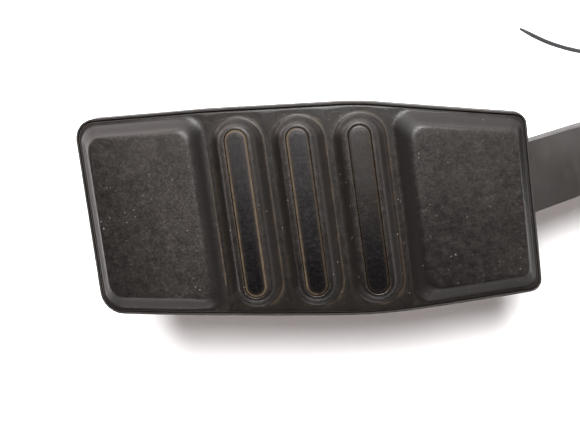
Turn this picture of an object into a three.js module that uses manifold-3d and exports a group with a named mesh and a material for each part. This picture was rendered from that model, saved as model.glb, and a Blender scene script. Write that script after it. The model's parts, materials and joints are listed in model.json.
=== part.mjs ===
// Hanging accelerator pedal module of a car: a ribbed foot pad on a moulded arm, which swings on a
// steel pin in a bolt-on housing with return springs, a friction shoe and a contactless angle sensor.
// Units are millimetres. The origin is on the mounting face, +Z points away from it towards the
// driver, +X towards the pivot end and away from the pad, and the pivot pin lies along Y.

import * as THREE from "three";
import { ConvexGeometry } from "three/addons/geometries/ConvexGeometry.js";
import { mergeVertices } from "three/addons/utils/BufferGeometryUtils.js";
import Module from "manifold-3d";

const wasm = await Module();
wasm.setup();

const rad = THREE.MathUtils.degToRad;

// ---------------------------------------------------------------- driving dimensions

const GAP = 0.3; // clearance between pieces that rest on each other
const PIVOT_Z = 44; // height of the pivot pin above the mounting face

// Foot pad, in its own frame: origin at the crown of the tread, +X towards the arm.
const PAD_CENTRE = new THREE.Vector3(-192, -21.5, 94);
const PAD_TILT = rad(8);
const CROWN_R = 450; // the tread is gently convex along its length
const PAD_END = [-75, 71.2]; // the two straight ends
const PAD_LEAN = 1; // the arm end's upper corner lies this much further out
const PAD_OUTLINE = [
  // x, y, corner radius; anticlockwise from the lower toe corner
  [PAD_END[0], -26, 8],
  [18, -36.6, 200],
  [PAD_END[1], -35.9, 4],
  [PAD_END[1] + PAD_LEAN, 22.5, 4],
  [18.8, 33.8, 100],
  [-30, 37.5, 300],
  [PAD_END[0], 39.3, 6.5],
];
const RIM_W = 0.6; // tray rim around the tread cover
const RIM_GAP = 0.4;
const COVER_T = 2.4; // sheet thickness of the tread cover
const TREAD_H = 3; // height of platforms and ribs above the sheet
const TRAY_FLOOR_T = 3;
const TRAY_DEPTH = 9; // rim top to the lower edge of the skirt
const SKIRT_T = 1.8;
const TRAY_RIB_X = [-48, -24, 0, 24, 48];
const TRAY_RIB_Y = [-18, 4, 26];
const TRAY_RIB_T = 1.6;

// Tread pattern.
const RIB_PITCH = [19.8, -1.8];
const RIB_CENTRE = [-1.7, 0.5]; // middle rib
const SLOT_LENGTH = 48.1; // between the centres of a slot's round ends
const SLOT_R = 3.75;
const INSERT_R = SLOT_R - 0.35;
const INSERT_CHAMFER = 0.5;
const RIB_TOP_R = SLOT_R + 0.9;
const RIB_FOOT_R = SLOT_R + 3.8;
const PLATFORM_FOOT = [-31.6, 28.8]; // inner foot of the toe and heel platforms
const PLATFORM_INNER_RUN = 6.2; // run of the long inner flank
const TOE_END_RUN = 3.9;
const HEEL_END_RUN = 2.9;
const PLATFORM_SIDE_RUN = 5.4;
const PLATFORM_MARGIN = 1.5; // from the pad's outline to a platform's foot
const TOE_CORNERS = [6.5, 5, 5, 5.2]; // anticlockwise from the lower toe corner
const HEEL_CORNERS = [5, 3.5, 3.5, 5];
const TREAD_ROOT = 1.2; // depth of the platforms and ribs into the sheet
const STUDS = [
  [-60, 25],
  [-60, -14],
  [58, 17],
  [58, -26],
];
const STUD_R = 2;
const STUD_LENGTH = 8.4; // below the tread's surface
const RETAINER_R = 4.6;
const RETAINER_T = 0.6;

// Arm: a channel section, open at the back, that runs from the hub to the pad in a straight
// line seen from the front and in an S seen from the side.
const ARM_YAW = rad(9.6);
const ARM_FRONT = [
  [0, 59],
  [-62, 60],
  [-108.3, 66],
  [-124.8, 73],
  [-127, 75.3],
  [-152, 82],
  [-208, 91],
];
const ARM_BACK = [
  [-208, 86],
  [-168, 74],
  [-128, 60],
  [-108, 48.5],
  [-30, 38],
  [0, 32],
];
const ARM_HALF_WIDTH = [
  [0, 10],
  [-60, 10.2],
  [-108.3, 11],
  [-126, 11.5],
  [-180, 10],
  [-208, 6],
];
const ARM_WALL = 2.8;
const ARM_FRONT_WALL = 3.2;
const ARM_RIB_T = 1.8;
const ARM_RIB_X = [-130, -112, -94, -76, -58, -40];
const ARM_RIB_SLANT = 7; // how far a rib's ends lie before and behind its middle
const HUB_R = 15;
const HUB_HALF = 17;
const PIN_R = 4;
const PIN_Y = [-26.2, 24.6];
const PIN_BORE_R = PIN_R + 0.15;

// Spring horn below the hub, its seat and the two nested coil springs behind it.
const NOSE = { x: -3.3, z: PIVOT_Z - 25, r: 3 };
const FULL_STOP_Z = 29.4; // top of the full-travel bumper
const SPRING_Z = NOSE.z;
const SPRING_X = [3.4, 46];
const OUTER_SPRING = { radius: 8.2, wire: 2, turns: 5.5 };
const INNER_SPRING = { radius: 4.7, wire: 1.3, turns: 7 };

// Housing.
const HOUSING_X = [-30, 53];
const HOUSING_HALF = 24;
const WALL = 3;
const BASE_T = 3.5;
const HOOD_R = 21.5;
const SHOULDER = [46, 42];
const REAR_TOP = 36;
const FRONT_TOP = 25;
const BOLT_EARS = [
  { x: 72, y: 6 },
  { x: -16, y: -39 },
  { x: -39, y: 27 },
];
const EAR_R = 9;
const EAR_T = 8;
const BOLT_R = 3.3;
const LIMITER_R = 4.8;
const FLANGE = 2.2; // the base plate's overhang round the walls
const OUTER_RIB_T = 1.8;
const OUTER_RIB_Y = [-14, 0, 14];
const BUSH_R = 6; // sleeve of a bearing bush
const BUSH_BORE_R = BUSH_R + 0.2;
const BUSH_FLANGE_R = 8.5;
const BUSH_FACE_Y = HUB_HALF + GAP;
const BOSS_R = 4;
const BOSS_Y = [-HOUSING_HALF, -12.2];
const COVER_SCREWS = [
  [-25, 8.5],
  [47.5, 8.5],
  [47.5, 31],
  [17, 57],
];
const COVER_SCREW_LENGTH = 12.4;
const COVER_Y = [-HOUSING_HALF - 3.2, -HOUSING_HALF - 0.2];

// Screws that hold the side cover and the sensor.
const SCREW = { headR: 3.3, headH: 2.4, shankR: 1.5, socketR: 1.5, socketDepth: 1.5 };
const SCREW_PILOT_R = 1.7;
const SCREW_HOLE_R = 1.8;

// Friction shoe behind the hub.
const SHOE = { x: [13.6, 20.5], half: 7 };
const SHOE_POCKET_X = [14, 25];
const SHOE_CLEAR = 0.4;
const SHOE_GUIDE_X = [17, 29];
const SHOE_GUIDE_WALL = 3;

// Angle sensor on the +Y side.
const SENSOR_Y = [24.1, 38];
const SENSOR_X = [-18, 33];
const SENSOR_Z = [22, 62];
const SENSOR_WALL = 2;
const SENSOR_SCREW_LENGTH = 20;
const LID_Y = [SENSOR_Y[1] + 0.9, SENSOR_Y[1] + 3.2];
const MAGNET = { outer: 6, inner: 2.2, y: [26.8, 29.8] };
const HOLDER = { radius: 8.6, y: [24.9, 29.6], floor: 1.7 };
const SENSOR_SCREWS = [
  [-13, 27],
  [-13, 57],
  [27, 46],
];
const SHROUD_X = [33, 57];
const SHROUD_Y = [25, 39];
const SHROUD_Z = [23, 43];
const SHROUD_WALL = 1.8;
const TERMINAL_Y = [29.4, 34.6];
const TERMINAL_Z = [28.5, 33, 37.5];
const BOARD_Y = [33, 34.6];
const CHIP_X = [-3, 3];
const CHIP_Y = [31.2, 32.8];
const CHIP_HALF = [2.4, 2.5]; // along X and Z

// Cable tie left on the harness eye, seen edge on from the front.
const TIE_T = 1.4;
const TIE_W = 2.5;
const TIE_HEAD = { x: [-31.6, -27], y: [23.6, 27.6], half: 2.4 };
const TIE_LOOP = { x: [-30.4, -22.4], y: [26.6, 33.2], corner: 2.4 };
const TIE_LOOP_T = 1.1;
const TIE_TAIL = [
  // x, y, z of the tail's middle line, from the head to the tip
  [-28, 25.8, 50],
  [-42, 19.2, 51],
  [-58, 14.8, 52],
  [-74, 13, 53],
  [-90, 14.3, 54],
  [-102, 17.6, 55],
  [-112, 21.9, 56],
  [-121, 27.8, 57],
];

// ---------------------------------------------------------------- materials

function finish(color, roughness, metalness) {
  return new THREE.MeshStandardMaterial({ color, roughness, metalness });
}

const plastic = (color, roughness) => finish(color, roughness, 0);
const metal = (color, roughness) => finish(color, roughness, 1);

const MATERIAL = {
  nylon: plastic(0x3a3836, 0.6),
  tread: plastic(0x2e2c29, 0.5),
  grip: plastic(0x2b2c30, 0.7),
  steel: metal(0x9a9a98, 0.35),
  springSteel: metal(0x6a6a6c, 0.4),
  bush: plastic(0xc8bfa4, 0.5),
  rubber: plastic(0x1c1c1c, 0.85),
  board: plastic(0x24543a, 0.5),
  chip: plastic(0x151515, 0.5),
  terminal: metal(0xc9a94e, 0.3),
  magnet: metal(0x4c4c4e, 0.5),
  seal: plastic(0x7a3a22, 0.8),
  tie: plastic(0x191a1c, 0.5),
};

// ---------------------------------------------------------------- solids

// A closed three.js geometry as a solid that can be joined and cut.
function solid(geometry) {
  const bare = geometry.clone();
  bare.deleteAttribute("normal");
  bare.deleteAttribute("uv");
  const merged = mergeVertices(bare, 1e-4);
  return new wasm.Manifold(
    new wasm.Mesh({
      numProp: 3,
      vertProperties: merged.attributes.position.array,
      triVerts: new Uint32Array(merged.index.array),
    }),
  );
}

function geometryOf(body) {
  const mesh = body.getMesh();
  const geometry = new THREE.BufferGeometry();
  geometry.setAttribute("position", new THREE.BufferAttribute(mesh.vertProperties, 3));
  geometry.setIndex(new THREE.BufferAttribute(mesh.triVerts, 1));
  const flat = geometry.toNonIndexed();
  flat.computeVertexNormals();
  return flat;
}

function part(name, body, material, parent) {
  const mesh = new THREE.Mesh(geometryOf(body), material);
  mesh.name = name;
  parent.add(mesh);
  return mesh;
}

const middle = ([a, b]) => (a + b) / 2;
const around = (centre, half) => [centre - half, centre + half];
const ordered = (a, b) => [Math.min(a, b), Math.max(a, b)];
const join = (...bodies) => bodies.reduce((a, b) => a.add(b));
const cut = (body, ...tools) => tools.reduce((a, b) => a.subtract(b), body);

// A solid moved by a matrix, by way of its geometry.
const moved = (body, matrix) => solid(geometryOf(body).applyMatrix4(matrix));

function box([x0, x1], [y0, y1], [z0, z1]) {
  const geometry = new THREE.BoxGeometry(x1 - x0, y1 - y0, z1 - z0);
  return solid(geometry.translate(middle([x0, x1]), middle([y0, y1]), middle([z0, z1])));
}

// A round bar along Y between two y values, with its centre line at x, z.
function barY(radius, span, x, z, sides = 24) {
  const geometry = new THREE.CylinderGeometry(radius, radius, span[1] - span[0], sides);
  return solid(geometry.translate(x, middle(span), z));
}

function barZ(radius, span, x, y, sides = 24) {
  const geometry = new THREE.CylinderGeometry(radius, radius, span[1] - span[0], sides).rotateX(Math.PI / 2);
  return solid(geometry.translate(x, y, middle(span)));
}

function barX(radius, span, y, z, sides = 24) {
  const geometry = new THREE.CylinderGeometry(radius, radius, span[1] - span[0], sides).rotateZ(Math.PI / 2);
  return solid(geometry.translate(middle(span), y, z));
}

const outlineShape = (points) => new THREE.Shape(points.map(([x, y]) => new THREE.Vector2(x, y)));

// Prism of an XY shape between two heights.
function prismZ(shape, [z0, z1], curveSegments = 4) {
  const geometry = new THREE.ExtrudeGeometry(shape, { depth: z1 - z0, bevelEnabled: false, curveSegments });
  return solid(geometry.translate(0, 0, z0));
}

// Prism of an XZ shape between two y values.
function prismY(shape, [y0, y1], curveSegments = 4) {
  const geometry = new THREE.ExtrudeGeometry(shape, { depth: y1 - y0, bevelEnabled: false, curveSegments });
  return solid(geometry.rotateX(Math.PI / 2).translate(0, y1, 0));
}

const LEAST_CORNER_R = 0.6;

// Moves each side of a convex anticlockwise polygon inwards; corners are [x, y, radius].
function insetCorners(corners, inset) {
  const count = corners.length;
  const side = (i) => {
    const [ax, ay] = corners[i];
    const [bx, by] = corners[(i + 1) % count];
    const length = Math.hypot(bx - ax, by - ay);
    const direction = [(bx - ax) / length, (by - ay) / length];
    return { start: [ax - direction[1] * inset, ay + direction[0] * inset], direction };
  };
  return corners.map(([, , radius], i) => {
    const p = side((i + count - 1) % count);
    const q = side(i);
    const cross = p.direction[0] * q.direction[1] - p.direction[1] * q.direction[0];
    const dx = q.start[0] - p.start[0];
    const dy = q.start[1] - p.start[1];
    const along = (dx * q.direction[1] - dy * q.direction[0]) / cross;
    const corner = [p.start[0] + p.direction[0] * along, p.start[1] + p.direction[1] * along];
    return [...corner, Math.max(radius - inset, LEAST_CORNER_R)];
  });
}

// Points of a convex anticlockwise polygon whose corners are rounded by arcs.
function roundedPoints(corners, steps = 6) {
  const count = corners.length;
  return corners.flatMap(([x, y, radius], i) => {
    const corner = new THREE.Vector2(x, y);
    const before = new THREE.Vector2(...corners[(i + count - 1) % count]).sub(corner).normalize();
    const after = new THREE.Vector2(...corners[(i + 1) % count]).sub(corner).normalize();
    const half = Math.acos(THREE.MathUtils.clamp(before.dot(after), -1, 1)) / 2;
    const centre = before.clone().add(after).normalize().multiplyScalar(radius / Math.sin(half)).add(corner);
    const reach = radius / Math.tan(half);
    const from = before.clone().multiplyScalar(reach).add(corner).sub(centre).angle();
    const turn = Math.PI - 2 * half;
    return Array.from({ length: steps + 1 }, (_, k) => {
      const angle = from + (turn * k) / steps;
      return [centre.x + radius * Math.cos(angle), centre.y + radius * Math.sin(angle)];
    });
  });
}

// Height of an outline's upper or lower side at x.
function sideAt(corners, x, upper) {
  const ys = corners.flatMap(([ax, ay], i) => {
    const [bx, by] = corners[(i + 1) % corners.length];
    const crosses = Math.abs(bx - ax) > 1e-6 && (ax - x) * (bx - x) <= 0;
    return crosses ? [ay + ((by - ay) * (x - ax)) / (bx - ax)] : [];
  });
  return upper ? Math.max(...ys) : Math.min(...ys);
}

function ringPoints(radius, sides) {
  return Array.from({ length: sides }, (_, k) => {
    const angle = (2 * Math.PI * k) / sides;
    return [radius * Math.cos(angle), radius * Math.sin(angle)];
  });
}

// Convex solid between a foot polygon at z0 and a top polygon at z1.
function frustum(foot, top, z0, z1) {
  const points = [
    ...foot.map(([x, y]) => new THREE.Vector3(x, y, z0)),
    ...top.map(([x, y]) => new THREE.Vector3(x, y, z1)),
  ];
  return solid(new ConvexGeometry(points));
}

// Outline of a slot along Y.
function stadium(x, y, length, radius, steps = 7) {
  const end = (centreY, from) =>
    Array.from({ length: steps + 1 }, (_, k) => {
      const angle = from + (Math.PI * k) / steps;
      return [x + radius * Math.cos(angle), centreY + radius * Math.sin(angle)];
    });
  return [...end(y + length / 2, 0), ...end(y - length / 2, Math.PI)];
}

// ---------------------------------------------------------------- foot pad

// Reach of the cutting shapes past the pad, from its centre.
const PAST_END = 82;
const PAST_SIDE = 60;
const PAST_DEPTH = 40;

const onCrown = (x) => -(x * x) / (2 * CROWN_R);

// Curved slab between two heights above the crowned surface, wider than the pad.
function crownSlab(low, high) {
  const sweep = Math.asin(PAST_END / CROWN_R);
  const shape = new THREE.Shape();
  shape.absarc(0, -CROWN_R, CROWN_R + high, Math.PI / 2 - sweep, Math.PI / 2 + sweep, false);
  shape.absarc(0, -CROWN_R, CROWN_R + low, Math.PI / 2 + sweep, Math.PI / 2 - sweep, true);
  return prismY(shape, around(0, PAST_SIDE), 10);
}

const padPrism = (inset) =>
  prismZ(outlineShape(roundedPoints(insetCorners(PAD_OUTLINE, inset))), [-PAST_DEPTH, PAST_DEPTH]);

// Lays a solid that was made flat about x onto the crowned surface.
function layOnCrown(body, x) {
  const matrix = new THREE.Matrix4()
    .makeTranslation(x, 0, onCrown(x))
    .multiply(new THREE.Matrix4().makeRotationY(x / CROWN_R))
    .multiply(new THREE.Matrix4().makeTranslation(-x, 0, 0));
  return moved(body, matrix);
}

const ribPlaces = [-1, 0, 1].map((i) => [RIB_CENTRE[0] + i * RIB_PITCH[0], RIB_CENTRE[1] + i * RIB_PITCH[1]]);

// A raised piece of the tread: sloping flanks above the sheet, and a root that joins it to the sheet.
const raised = (foot, top) => join(frustum(foot, top, 0, TREAD_H), frustum(foot, foot, -TREAD_ROOT, 0));

// One of the two flat platforms; footX and topX are the ends of its foot and of its top.
function platform(footX, topX, radii, lean) {
  const outline = insetCorners(PAD_OUTLINE, PLATFORM_MARGIN);
  const ring = ([x0, x1], side) => {
    const corners = [
      [x0, sideAt(outline, x0, false) + side],
      [x1, sideAt(outline, x1, false) + side],
      [x1 + lean, sideAt(outline, x1, true) - side],
      [x0, sideAt(outline, x0, true) - side],
    ];
    return roundedPoints(corners.map((corner, i) => [...corner, radii[i]]), 4);
  };
  return layOnCrown(raised(ring(footX, 0), ring(topX, PLATFORM_SIDE_RUN)), middle(footX));
}

function toePlatform() {
  const [outer, inner] = [PAD_END[0] + PLATFORM_MARGIN, PLATFORM_FOOT[0]];
  return platform([outer, inner], [outer + TOE_END_RUN, inner - PLATFORM_INNER_RUN], TOE_CORNERS, 0);
}

function heelPlatform() {
  const [inner, outer] = [PLATFORM_FOOT[1], PAD_END[1] - PLATFORM_MARGIN];
  return platform([inner, outer], [inner + PLATFORM_INNER_RUN, outer - HEEL_END_RUN], HEEL_CORNERS, PAD_LEAN);
}

function treadCover() {
  const sheet = padPrism(RIM_W + RIM_GAP).intersect(crownSlab(-COVER_T, 0));
  const ribs = ribPlaces.map(([x, y]) => {
    const foot = stadium(x, y, SLOT_LENGTH, RIB_FOOT_R);
    const top = stadium(x, y, SLOT_LENGTH, RIB_TOP_R);
    return layOnCrown(raised(foot, top), x);
  });
  const slots = ribPlaces.map(([x, y]) => {
    const slot = outlineShape(stadium(x, y, SLOT_LENGTH, SLOT_R));
    return layOnCrown(prismZ(slot, [-2 * COVER_T, 2 * TREAD_H]), x);
  });
  const studs = STUDS.map(([x, y]) => {
    const surface = onCrown(x);
    return barZ(STUD_R, [surface - STUD_LENGTH, surface - COVER_T / 2], x, y, 16);
  });
  return cut(join(sheet, toePlatform(), heelPlatform(), ...ribs, ...studs), ...slots);
}

function gripInsert([x, y]) {
  const foot = stadium(x, y, SLOT_LENGTH, INSERT_R);
  const top = stadium(x, y, SLOT_LENGTH, INSERT_R - INSERT_CHAMFER);
  const edge = TREAD_H - INSERT_CHAMFER;
  const low = frustum(foot, foot, -COVER_T + 0.1, edge);
  return layOnCrown(join(low, frustum(foot, top, edge, TREAD_H)), x);
}

// Push-on retainer that grips a stud behind the tray's floor.
function studRetainer([x, y]) {
  const top = onCrown(x) - COVER_T - GAP - TRAY_FLOOR_T - 2 * GAP;
  const ring = [top - RETAINER_T, top];
  return cut(barZ(RETAINER_R, ring, x, y), barZ(STUD_R + 0.25, [top - 2, top + 2], x, y, 16));
}

// The tray at the end of the arm, in the pad's frame.
function padTray() {
  const floorTop = -COVER_T - GAP;
  const floorBottom = floorTop - TRAY_FLOOR_T;
  const block = padPrism(0).intersect(crownSlab(-TRAY_DEPTH, 0));
  const front = padPrism(RIM_W).intersect(crownSlab(floorTop, TREAD_H));
  const back = padPrism(SKIRT_T).intersect(crownSlab(-TRAY_DEPTH - 4, floorBottom));
  const ribDepth = [-PAST_DEPTH, 0];
  const crossRibs = TRAY_RIB_X.map((x) => box(around(x, TRAY_RIB_T / 2), around(0, PAST_SIDE), ribDepth));
  const longRibs = TRAY_RIB_Y.map((y) => box(around(0, PAST_END), around(y, TRAY_RIB_T / 2), ribDepth));
  const ribs = join(...crossRibs, ...longRibs)
    .intersect(padPrism(1))
    .intersect(crownSlab(-TRAY_DEPTH + 1, floorBottom + 1));
  const holes = STUDS.map(([x, y]) => barZ(STUD_R + 0.4, around(0, PAST_DEPTH), x, y, 16));
  const clearings = STUDS.map(([x, y]) => {
    const depth = [-PAST_DEPTH, onCrown(x) + floorBottom - 0.2];
    return barZ(RETAINER_R + 0.8, depth, x, y, 16);
  });
  return cut(join(cut(block, front, back), ribs), ...holes, ...clearings);
}

// ---------------------------------------------------------------- arm

const padMatrix = new THREE.Matrix4()
  .makeTranslation(PAD_CENTRE.x, PAD_CENTRE.y, PAD_CENTRE.z)
  .multiply(new THREE.Matrix4().makeRotationY(PAD_TILT));

const armMatrix = new THREE.Matrix4().makeRotationZ(ARM_YAW);

// The arm's plan outline, with its half width reduced by inset.
function armPlan(inset) {
  const upper = ARM_HALF_WIDTH.map(([x, half]) => [x, half - inset]);
  const lower = upper.map(([x, y]) => [x, -y]).reverse();
  return outlineShape([...upper, ...lower]);
}

function armBeam() {
  const breadth = around(0, 2 * ARM_HALF_WIDTH[0][1]);
  const height = [0, 120];
  const side = outlineShape([...ARM_FRONT, ...ARM_BACK]);
  const body = prismY(side, breadth).intersect(prismZ(armPlan(0), height));
  const inside = outlineShape([
    ...ARM_FRONT.slice(0, 5).map(([x, z]) => [x, z - ARM_FRONT_WALL]),
    [-152, 76],
    ...ARM_BACK.slice(2).map(([x, z]) => [x, z - 12]),
  ]);
  const hollow = prismY(inside, breadth).intersect(prismZ(armPlan(ARM_WALL), height));
  const ribs = ARM_RIB_X.map((x, i) => {
    const slant = i % 2 ? ARM_RIB_SLANT : -ARM_RIB_SLANT;
    const corners = [
      [x - slant, -15],
      [x - slant + ARM_RIB_T, -15],
      [x + slant + ARM_RIB_T, 15],
      [x + slant, 15],
    ];
    return prismZ(outlineShape(corners), height).intersect(body);
  });
  return join(cut(body, hollow), ...ribs);
}

// Block on the back of the arm that lands on the full-travel bumper.
function stopBlock() {
  const side = outlineShape([
    [-34, 37.5],
    [-18, 35],
    [-18, 45],
    [-34, 45],
  ]);
  return prismY(side, around(0, 9));
}

function hub() {
  const drum = barY(HUB_R, [-HUB_HALF, HUB_HALF], 0, PIVOT_Z, 36);
  const horn = prismY(
    outlineShape([
      [-9, PIVOT_Z - 8],
      [-9.6, NOSE.z - 4],
      [-7.2, NOSE.z - 4],
      [-7.2, NOSE.z + 4],
      [-2, NOSE.z + 10],
      [8, PIVOT_Z - 8],
    ]),
    [-8, 8],
  );
  const neck = box([-8.5, NOSE.x], [-6, 6], [NOSE.z - 1.6, NOSE.z + 1.6]);
  const nose = barY(NOSE.r, [-6, 6], NOSE.x, NOSE.z, 20);
  return join(drum, horn, neck, nose);
}

function pedalArm() {
  const beam = moved(armBeam(), armMatrix);
  const frame = join(beam, moved(stopBlock(), armMatrix), hub(), moved(padTray(), padMatrix));
  return cut(frame, barY(PIN_BORE_R, around(0, 2 * HUB_HALF), 0, PIVOT_Z, 32));
}

// ---------------------------------------------------------------- housing

// Side view of the housing, moved inwards by inset.
function housingSide(inset, bottom) {
  const shape = new THREE.Shape();
  const radius = HOOD_R - inset;
  const [sx, sz] = SHOULDER;
  const far = Math.hypot(sx, sz - PIVOT_Z);
  const rearAngle = Math.atan2(sz - PIVOT_Z, sx) + Math.acos(HOOD_R / far);
  const frontAngle = rad(155);
  shape.moveTo(HOUSING_X[0] + inset, bottom);
  shape.lineTo(HOUSING_X[1] - inset, bottom);
  shape.lineTo(HOUSING_X[1] - inset, REAR_TOP - inset * 0.6);
  shape.lineTo(sx - inset * 0.7, sz - inset);
  shape.absarc(0, PIVOT_Z, radius, rearAngle, frontAngle, false);
  shape.lineTo(HOUSING_X[0] + inset, FRONT_TOP - inset);
  return shape;
}

// A bolt ear: a round boss and a web that runs from it to the given points of the base.
function ear({ x, y }, rootPoints) {
  const round = ringPoints(EAR_R - 0.6, 16).map(([dx, dy]) => [x + dx, y + dy]);
  const web = frustum([...rootPoints, ...round], [...rootPoints, ...round], 0, BASE_T);
  return join(web, barZ(EAR_R, [0, EAR_T], x, y, 32));
}

// Stiffening ribs on the rear face and down the sloping roof.
function outerRibs() {
  const rear = outlineShape([
    [52, 2],
    [56.5, 2],
    [54.6, 34],
    [52, 34.5],
  ]);
  const roof = outlineShape([
    [9, 60.5],
    [44, 40.5],
    [48, 41.6],
    [12, 64.8],
  ]);
  return OUTER_RIB_Y.flatMap((y) => [rear, roof].map((side) => prismY(side, around(y, OUTER_RIB_T / 2))));
}

// The base plate's overhang round the walls.
function baseFlange() {
  const [x0, x1] = [HOUSING_X[0] - FLANGE, HOUSING_X[1] + FLANGE];
  const half = HOUSING_HALF + FLANGE;
  const corners = [
    [x0, -half, 4],
    [x1, -half, 4],
    [x1, half, 4],
    [x0, half, 4],
  ];
  return prismZ(outlineShape(roundedPoints(corners)), [0, BASE_T]);
}

function boltEars() {
  const [front, back] = HOUSING_X;
  const edge = HOUSING_HALF + 1;
  return [
    ear(BOLT_EARS[0], [[back - 1, -18], [back - 1, 24]]),
    ear(BOLT_EARS[1], [[front - 1, 2 - edge], [10, 2 - edge]]),
    ear(BOLT_EARS[2], [[front + 1, 6], [front + 14, edge]]),
  ];
}

// What is cut away for the arm: the mouth towards the pad, and the wall beside it on the cover's side.
function armOpening() {
  const far = -60;
  const top = 80;
  const mouth = outlineShape([
    [far, FRONT_TOP - 1],
    [-12, FRONT_TOP - 1],
    [-4, 40],
    [-4, top],
    [far, top],
  ]);
  const side = outlineShape([
    [far, FRONT_TOP],
    [-12, FRONT_TOP],
    [-12, top],
    [far, top],
  ]);
  const inner = HOUSING_HALF - WALL;
  return join(prismY(mouth, [-inner, inner]), prismY(side, [-HOUSING_HALF - 1, -inner]));
}

function housing() {
  const inner = HOUSING_HALF - WALL;
  const block = prismY(housingSide(0, 0), around(0, HOUSING_HALF), 8);
  const room = prismY(housingSide(WALL, BASE_T), [-HOUSING_HALF - 1, inner], 8);
  const pocketHalf = SHOE.half + SHOE_CLEAR;
  const guideHalf = pocketHalf + SHOE_GUIDE_WALL;
  const guide = box(SHOE_GUIDE_X, [-guideHalf, inner + 1], around(PIVOT_Z, guideHalf)).intersect(block);
  const pocket = box(SHOE_POCKET_X, around(0, pocketHalf), around(PIVOT_Z, pocketHalf));
  const bosses = COVER_SCREWS.map(([x, z]) => barY(BOSS_R, BOSS_Y, x, z, 16));
  const coverDepth = [BOSS_Y[0] - 1, BOSS_Y[1] - 1.4];
  const sensorDepth = [inner - 0.5, HOUSING_HALF + 1];
  const coverPilots = COVER_SCREWS.map(([x, z]) => barY(SCREW_PILOT_R, coverDepth, x, z, 10));
  const sensorPilots = SENSOR_SCREWS.map(([x, z]) => barY(SCREW_PILOT_R, sensorDepth, x, z, 12));
  const innerWalls = [-20, HOUSING_HALF - 1];
  const bumperWall = box([-17.5, -15], innerWalls, [0.5, 22]);
  const stopShelf = box([-28, -16], innerWalls, [15, 18]);
  const earHoles = BOLT_EARS.map(({ x, y }) => barZ(LIMITER_R + 0.2, [-1, EAR_T + 1], x, y));
  const gussetSide = outlineShape([
    [52, 2],
    [64, 2],
    [64, 8],
    [52, 30],
  ]);
  const gusset = prismY(gussetSide, around(BOLT_EARS[0].y, 1.5));
  const walls = join(cut(block, room), bumperWall, stopShelf, guide, gusset, baseFlange());
  const shell = join(walls, ...bosses, ...boltEars(), ...outerRibs());
  const bushBore = barY(BUSH_BORE_R, [inner - 1, HOUSING_HALF + 1], 0, PIVOT_Z);
  return cut(shell, armOpening(), bushBore, pocket, ...coverPilots, ...sensorPilots, ...earHoles);
}

function sideCover() {
  const plate = prismY(housingSide(0.2, BASE_T + GAP + 0.2), COVER_Y, 8);
  const lugs = COVER_SCREWS.map(([x, z]) => barY(BOSS_R, COVER_Y, x, z, 16));
  const boss = barY(9.5, [COVER_Y[0] - 2.5, -HOUSING_HALF + WALL], 0, PIVOT_Z);
  const bore = barY(BUSH_BORE_R, [COVER_Y[0] - 0.5, 0], 0, PIVOT_Z);
  const ribs = [20, -35, -90, -145].map((degrees) => {
    const rib = box([8, 24], [COVER_Y[0] - 1.4, COVER_Y[0] + 1], around(0, OUTER_RIB_T / 2));
    const turn = new THREE.Matrix4().makeRotationY(-rad(degrees));
    return moved(rib, new THREE.Matrix4().makeTranslation(0, 0, PIVOT_Z).multiply(turn));
  });
  const holes = COVER_SCREWS.map(([x, z]) => barY(SCREW_HOLE_R, [COVER_Y[0] - 1, COVER_Y[1] + 1], x, z, 12));
  return cut(join(plate, boss, ...lugs, ...ribs), bore, ...holes);
}

// Pan-head screw along Y with its head at headY and its shank pointing the way of `into`.
function screw(x, z, headY, into, length) {
  const top = headY - into * SCREW.headH;
  const head = barY(SCREW.headR, ordered(headY, top), x, z, 14);
  const shank = barY(SCREW.shankR, ordered(headY, headY + into * length), x, z, 8);
  const socket = barY(SCREW.socketR, ordered(top - into, top + into * SCREW.socketDepth), x, z, 6);
  return cut(join(head, shank), socket);
}

// Flanged bearing bush; side is +1 on the sensor side and -1 on the cover side.
function bearingBush(side) {
  const flangeEnd = HOUSING_HALF - WALL - 0.1;
  const sleeveEnd = side > 0 ? HOUSING_HALF - 0.2 : HOUSING_HALF + 2;
  const flange = barY(BUSH_FLANGE_R, ordered(side * BUSH_FACE_Y, side * flangeEnd), 0, PIVOT_Z);
  const sleeve = barY(BUSH_R, ordered(side * BUSH_FACE_Y, side * sleeveEnd), 0, PIVOT_Z);
  return cut(join(flange, sleeve), barY(PIN_BORE_R, around(0, 2 * HOUSING_HALF), 0, PIVOT_Z));
}

// ---------------------------------------------------------------- springs and stops

class CoilCurve extends THREE.Curve {
  constructor({ radius, wire, turns }) {
    super();
    Object.assign(this, { radius, wire, turns, x0: SPRING_X[0] + wire / 2, x1: SPRING_X[1] - wire / 2 });
  }

  // The end turns lie almost closed, and the turns between them share the rest of the length.
  getPoint(t) {
    const turn = t * this.turns;
    const closed = this.wire * 1.05;
    const open = (this.x1 - this.x0 - 2 * closed) / (this.turns - 2);
    const openTurns = Math.min(Math.max(turn - 1, 0), this.turns - 2);
    const x = this.x0 + closed * (Math.min(turn, 1) + Math.max(turn - this.turns + 1, 0)) + open * openTurns;
    const angle = turn * 2 * Math.PI;
    return new THREE.Vector3(x, this.radius * Math.cos(angle), SPRING_Z + this.radius * Math.sin(angle));
  }
}

const WIRE_SIDES = 6;
const STEPS_PER_TURN = 12;

function coil(spring) {
  const wire = outlineShape(ringPoints(spring.wire / 2, WIRE_SIDES));
  const steps = spring.turns * STEPS_PER_TURN;
  return solid(new THREE.ExtrudeGeometry(wire, { extrudePath: new CoilCurve(spring), steps }));
}

const SPIGOT_R = 3.6; // locates the inner spring at both ends

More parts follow.
